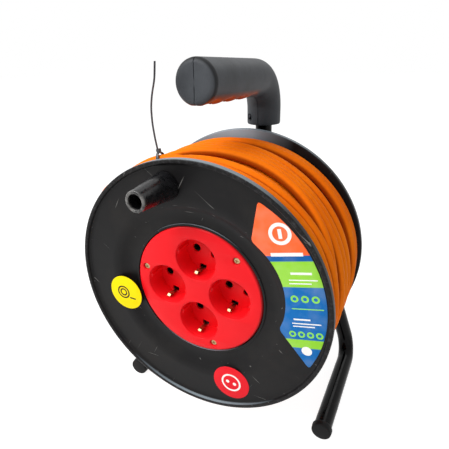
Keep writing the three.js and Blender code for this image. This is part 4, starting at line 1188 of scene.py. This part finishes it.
# ---- Foot caps -----------------------------------------------------------------------------
# Thick push-on caps of soft black PVC, flattened underneath where they bear on the floor.
cap_radius = 10.6
cap_length = 6.5
floor_level = -176.1
cap_outline = soften([
    (0, -3.3), (cap_radius - 0.4, -3.3, 1.6), (cap_radius, 1, 1), (cap_radius, cap_length - 3.3, 1),
    (9.4, cap_length - 3.3, 0.3), (9.4, -0.3), (0, -0.3),
])
for side, side_name in ((-1, "left"), (1, "right")):
    start = Vector((side * foot_front[0], *foot_front[1:]))
    heel = Vector((side * foot_heel[0], foot_heel[1], foot_front[2]))
    points, faces = turned_form(cap_outline, 64, start, heel - start)
    points = [(p[0], p[1], max(p[2], floor_level)) for p in points]
    cap = make_piece(f"foot_cap_{side_name}_moulded", [(points, faces)], soft_pvc)
    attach(cap, "stand")
    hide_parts(f"foot_cap_{side_name}")


# ---- Grip ----------------------------------------------------------------------------------
# Two moulded halves of dark grey polypropylene, screwed together round the bent tube from the
# left. They meet in a fine seam, and the underside has four hollows for the fingers.
grip_radius = 18.5
grip_rounding = 4.6
finger_places = [-32, -4.5, 23, 50.5]
finger_radius = 19
finger_depth = 5.2
seam_depth = 0.7
seam_half = 0.5
# Where each screw sinks in, as [y, z, depth].
grip_screws = [(94.5, 133, 9), (-36, 179.8, 5)]


# Filled polypropylene, spark textured: quite matt and dark grey, with a grain drawn at 1 mm,
# paler rubbed patches, a front edge blackened by hands, and a painted reflection of the orange
# cable on the downward faces under the fingers.
def textured_polypropylene():
    material, tree, place = start_material(
        "textured_polypropylene_grey", "#3a3c40", 0.55, specular=0.24,
    )
    grain = mottled(tree, place, 1, 4, 0.65)
    both = add_node(
        tree, "ShaderNodeMath", {0: grain, 1: 0.35, 2: mottled(tree, place, 26, 4)},
        operation="MULTIPLY_ADD",
    )
    tone = add_node(tree, "ShaderNodeMapRange", {"Value": both, "From Min": 0.45, "From Max": 0.9})
    facing = add_node(tree, "ShaderNodeTexCoord", out="Normal")
    behind_edge = zone(tree, place, "Y", (grip_front + 0.9) * mm, (grip_front + 2) * mm)
    near_edge = zone(tree, place, "Y", (grip_front + 6.5) * mm, (grip_front + 4.5) * mm, 0.85)
    under = zone(tree, facing, "Z", -0.5, -0.85, 0.8)
    fingers = zone(tree, place, "Y", 62 * mm, 48 * mm)
    coats = [(tone, "#424549")]
    # The orange coat on downward faces under the fingers is a painted reflection of the cable.
    for shares, coat in (((near_edge,), "#0f0f11"), ((under, fingers), "#b8561c")):
        amount = behind_edge
        for share in shares:
            amount = add_node(tree, "ShaderNodeMath", {0: amount, 1: share}, operation="MULTIPLY")
        coats.append((amount, coat))
    colour = painted(tree, "#2a2c30", *coats)
    return finish_material(material, colour, None, grain, strength=0.6, depth=0.12)


# One ring round the grip: each point as [across, up, whether it lies on the seam].
def grip_section(radius):
    seam = min(seam_half / max(radius, 0.1), 0.2)
    ring = []
    for middle in (math.pi / 2, 3 * math.pi / 2):
        angles = [middle - seam, middle, middle + seam]
        angles += [middle + seam + (math.pi - 2 * seam) * k / 31 for k in range(1, 31)]
        ring += [(radius * math.cos(a), radius * math.sin(a), a == middle) for a in angles]
    return ring


def grip_form():
    line = smooth_line(grip_line(grip_front, sleeve_foot), step=1.5, rounds=0)
    ahead = headings(line)
    last = len(line) - 1
    # Each ring is [place on the line, radius, distance on from there].
    rings = [(0, 0, 0), (0, 5, 0), (0, 10, 0)]
    for angle in (0, 0.4, 0.8, 1.2, math.pi / 2):
        radius = grip_radius - grip_rounding * (1 - math.sin(angle))
        rings.append((0, radius, grip_rounding * (1 - math.cos(angle))))
    rings += [(i, grip_radius, 0) for i in range(3, last)]
    rings += [(last, grip_radius - 0.5, 0), (last, 9.5, 0), (last - 6, 9.5, 0), (last - 6, 0, 0)]
    points = []
    for place, radius, on in rings:
        forward = ahead[place]
        centre = line[place] + forward * on
        up = np.cross((1, 0, 0), forward)
        for across, high, on_seam in grip_section(radius):
            for finger in finger_places:
                off = centre[1] - finger
                if abs(off) < finger_radius and high < 0 and radius > 10 and forward[1] > 0.9:
                    hollow = math.sqrt(finger_radius ** 2 - off ** 2) - finger_radius
                    high = max(high, hollow + finger_depth - grip_radius)
            point = centre + np.array((across, 0, 0)) + up * high
            if on_seam and 3 < radius:
                point += (forward if on == 0 and place == 0 else -up * np.sign(high)) * seam_depth
            points.append(point)
    return points, ring_faces(len(rings), len(points) // len(rings), capped=False)


grip_plastic = textured_polypropylene()
grip = make_piece("grip_moulded", [grip_form()], grip_plastic)
for number, (y, z, depth) in enumerate(grip_screws):
    pit = make_piece(f"pit_{number}", [turned_form(
        [(0, -grip_radius - 1), (3.7, -grip_radius - 1), (3.7, depth - grip_radius),
         (0, depth - grip_radius)], 32, (0, y, z), (1, 0, 0),
    )], grip_plastic)
    sink = grip.modifiers.new("sink", "BOOLEAN")
    sink.object = pit
    sink.solver = "EXACT"
    settle(grip)
    bpy.data.objects.remove(pit)
grip.data.set_sharp_from_angle(angle=math.radians(40))
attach(grip, "stand")
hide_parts("grip_half_left", "grip_half_right")


# ---- Metal and hidden parts ----------------------------------------------------------------
# The axle, its washers and nut, the bracket on the post and its bolts are zinc-plated or
# enamelled steel. Inside the drum are the barrel, the brass bars, and the grey housing,
# terminal block and cable clamp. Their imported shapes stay, with their edges broken.
def moulded_grey():
    material, tree, place = start_material("moulded_polyamide_grey", "#9a9c9d", 0.5)
    return finish_material(
        material, painted(tree, "#8d8f90", (mottled(tree, place, 12, 3), "#a7a9aa")),
    )


kept_finishes = [
    (zinc, ["axle", "rear_washer", "front_washer", "axle_nut", "bracket_bolt_lower",
            "bracket_bolt_upper", "bracket_nut_lower", "bracket_nut_upper", "knob_washer",
            "knob_screw"]),
    # Painted shade: the grip screws are made dark so that their pits read as shaded.
    (handled_metal("blackened_steel", "#3a3b3e", "#1d1d1f"), ["grip_screw_1", "grip_screw_2"]),
    (enamel, ["axle_bracket"]),
    (abs_black, ["drum_barrel"]),
    (brass, ["hub_bush"]),
    # Painted shade: the bus bars seen through the pin holes are made near black so the holes read
    # dark.
    (handled_metal("tarnished_brass", "#3c2e18", "#1f170c"), ["live_bus_bar", "neutral_bus_bar"]),
    (moulded_grey(), ["socket_back_cover", "terminal_block", "cable_clamp_base",
                      "cable_clamp_cap"]),
]
for finish, names in kept_finishes:
    for name in names:
        node = bpy.data.objects[name]
        for material_slot in node.material_slots:
            material_slot.material = finish
        edge = node.modifiers.new("edge", "BEVEL")
        edge.width = 0.25 * mm
        edge.segments = 2
        edge.limit_method = "ANGLE"
        edge.angle_limit = math.radians(40)


# ---- Light and floor -----------------------------------------------------------------------
# A plain pale studio: a large soft lamp above to the left, weaker ones on the right and
# behind, a low even sky, and a white paper floor that keeps the reel's shadow.
def eye_sees(tree):
    path = add_node(tree, "ShaderNodeLightPath", out=None)
    seen = path["Is Camera Ray"]
    for ray in ("Is Transmission Ray", "Is Glossy Ray"):
        seen = add_node(
            tree, "ShaderNodeMath", {0: seen, 1: path[ray]}, operation="ADD", use_clamp=True,
        )
    return seen


def studio_sky():
    world = bpy.data.worlds.new("studio")
    bpy.context.scene.world = world
    world.use_nodes = True
    tree = world.node_tree
    tree.nodes.clear()
    sky = add_node(tree, "ShaderNodeBackground", {"Color": "#ffffff", "Strength": 0.36})
    white = add_node(tree, "ShaderNodeBackground", {"Color": "#ffffff", "Strength": 1})
    both = add_node(tree, "ShaderNodeMixShader", {0: eye_sees(tree), 1: sky, 2: white})
    add_node(tree, "ShaderNodeOutputWorld", {"Surface": both}, out=None)


def lamp(name, place, size, watts):
    data = bpy.data.lights.new(name, "AREA")
    data.shape = "DISK"
    data.size = size
    data.energy = watts
    light = bpy.data.objects.new(name, data)
    bpy.context.scene.collection.objects.link(light)
    light.location = place
    aim = Vector((0, 0, 0.18)) - Vector(place)
    light.rotation_euler = aim.to_track_quat("-Z", "Y").to_euler()


studio_sky()
lamp("key_lamp", (-0.7, -0.9, 1.5), 1.5, 36)
lamp("side_lamp", (1.4, -0.9, 0.6), 1.0, 1.2)
lamp("back_lamp", (0.2, 1.4, 1.4), 0.8, 3)


# Matt white paper: it bounces light as paper does, and the eye sees it lit almost white.
def matt_paper():
    material, tree, _ = start_material("matt_paper_white", "#e9e9e9", 0.9, specular=0.1)
    glow = add_node(tree, "ShaderNodeEmission", {"Color": "#ffffff", "Strength": 0.92})
    pale = add_node(tree, "ShaderNodeBsdfDiffuse", {"Color": "#989898"})
    lit = add_node(tree, "ShaderNodeAddShader", {0: glow, 1: pale})
    paper = tree.nodes["Principled BSDF"].outputs[0]
    both = add_node(tree, "ShaderNodeMixShader", {0: eye_sees(tree), 1: paper, 2: lit})
    tree.links.new(both, tree.nodes["Material Output"].inputs["Surface"])
    return material


floor_mesh = bpy.data.meshes.new("floor")
floor_mesh.from_pydata([(-6, -6, 0), (6, -6, 0), (6, 6, 0), (-6, 6, 0)], [], [(0, 1, 2, 3)])
floor_mesh.materials.append(matt_paper())
link_piece("floor", floor_mesh)
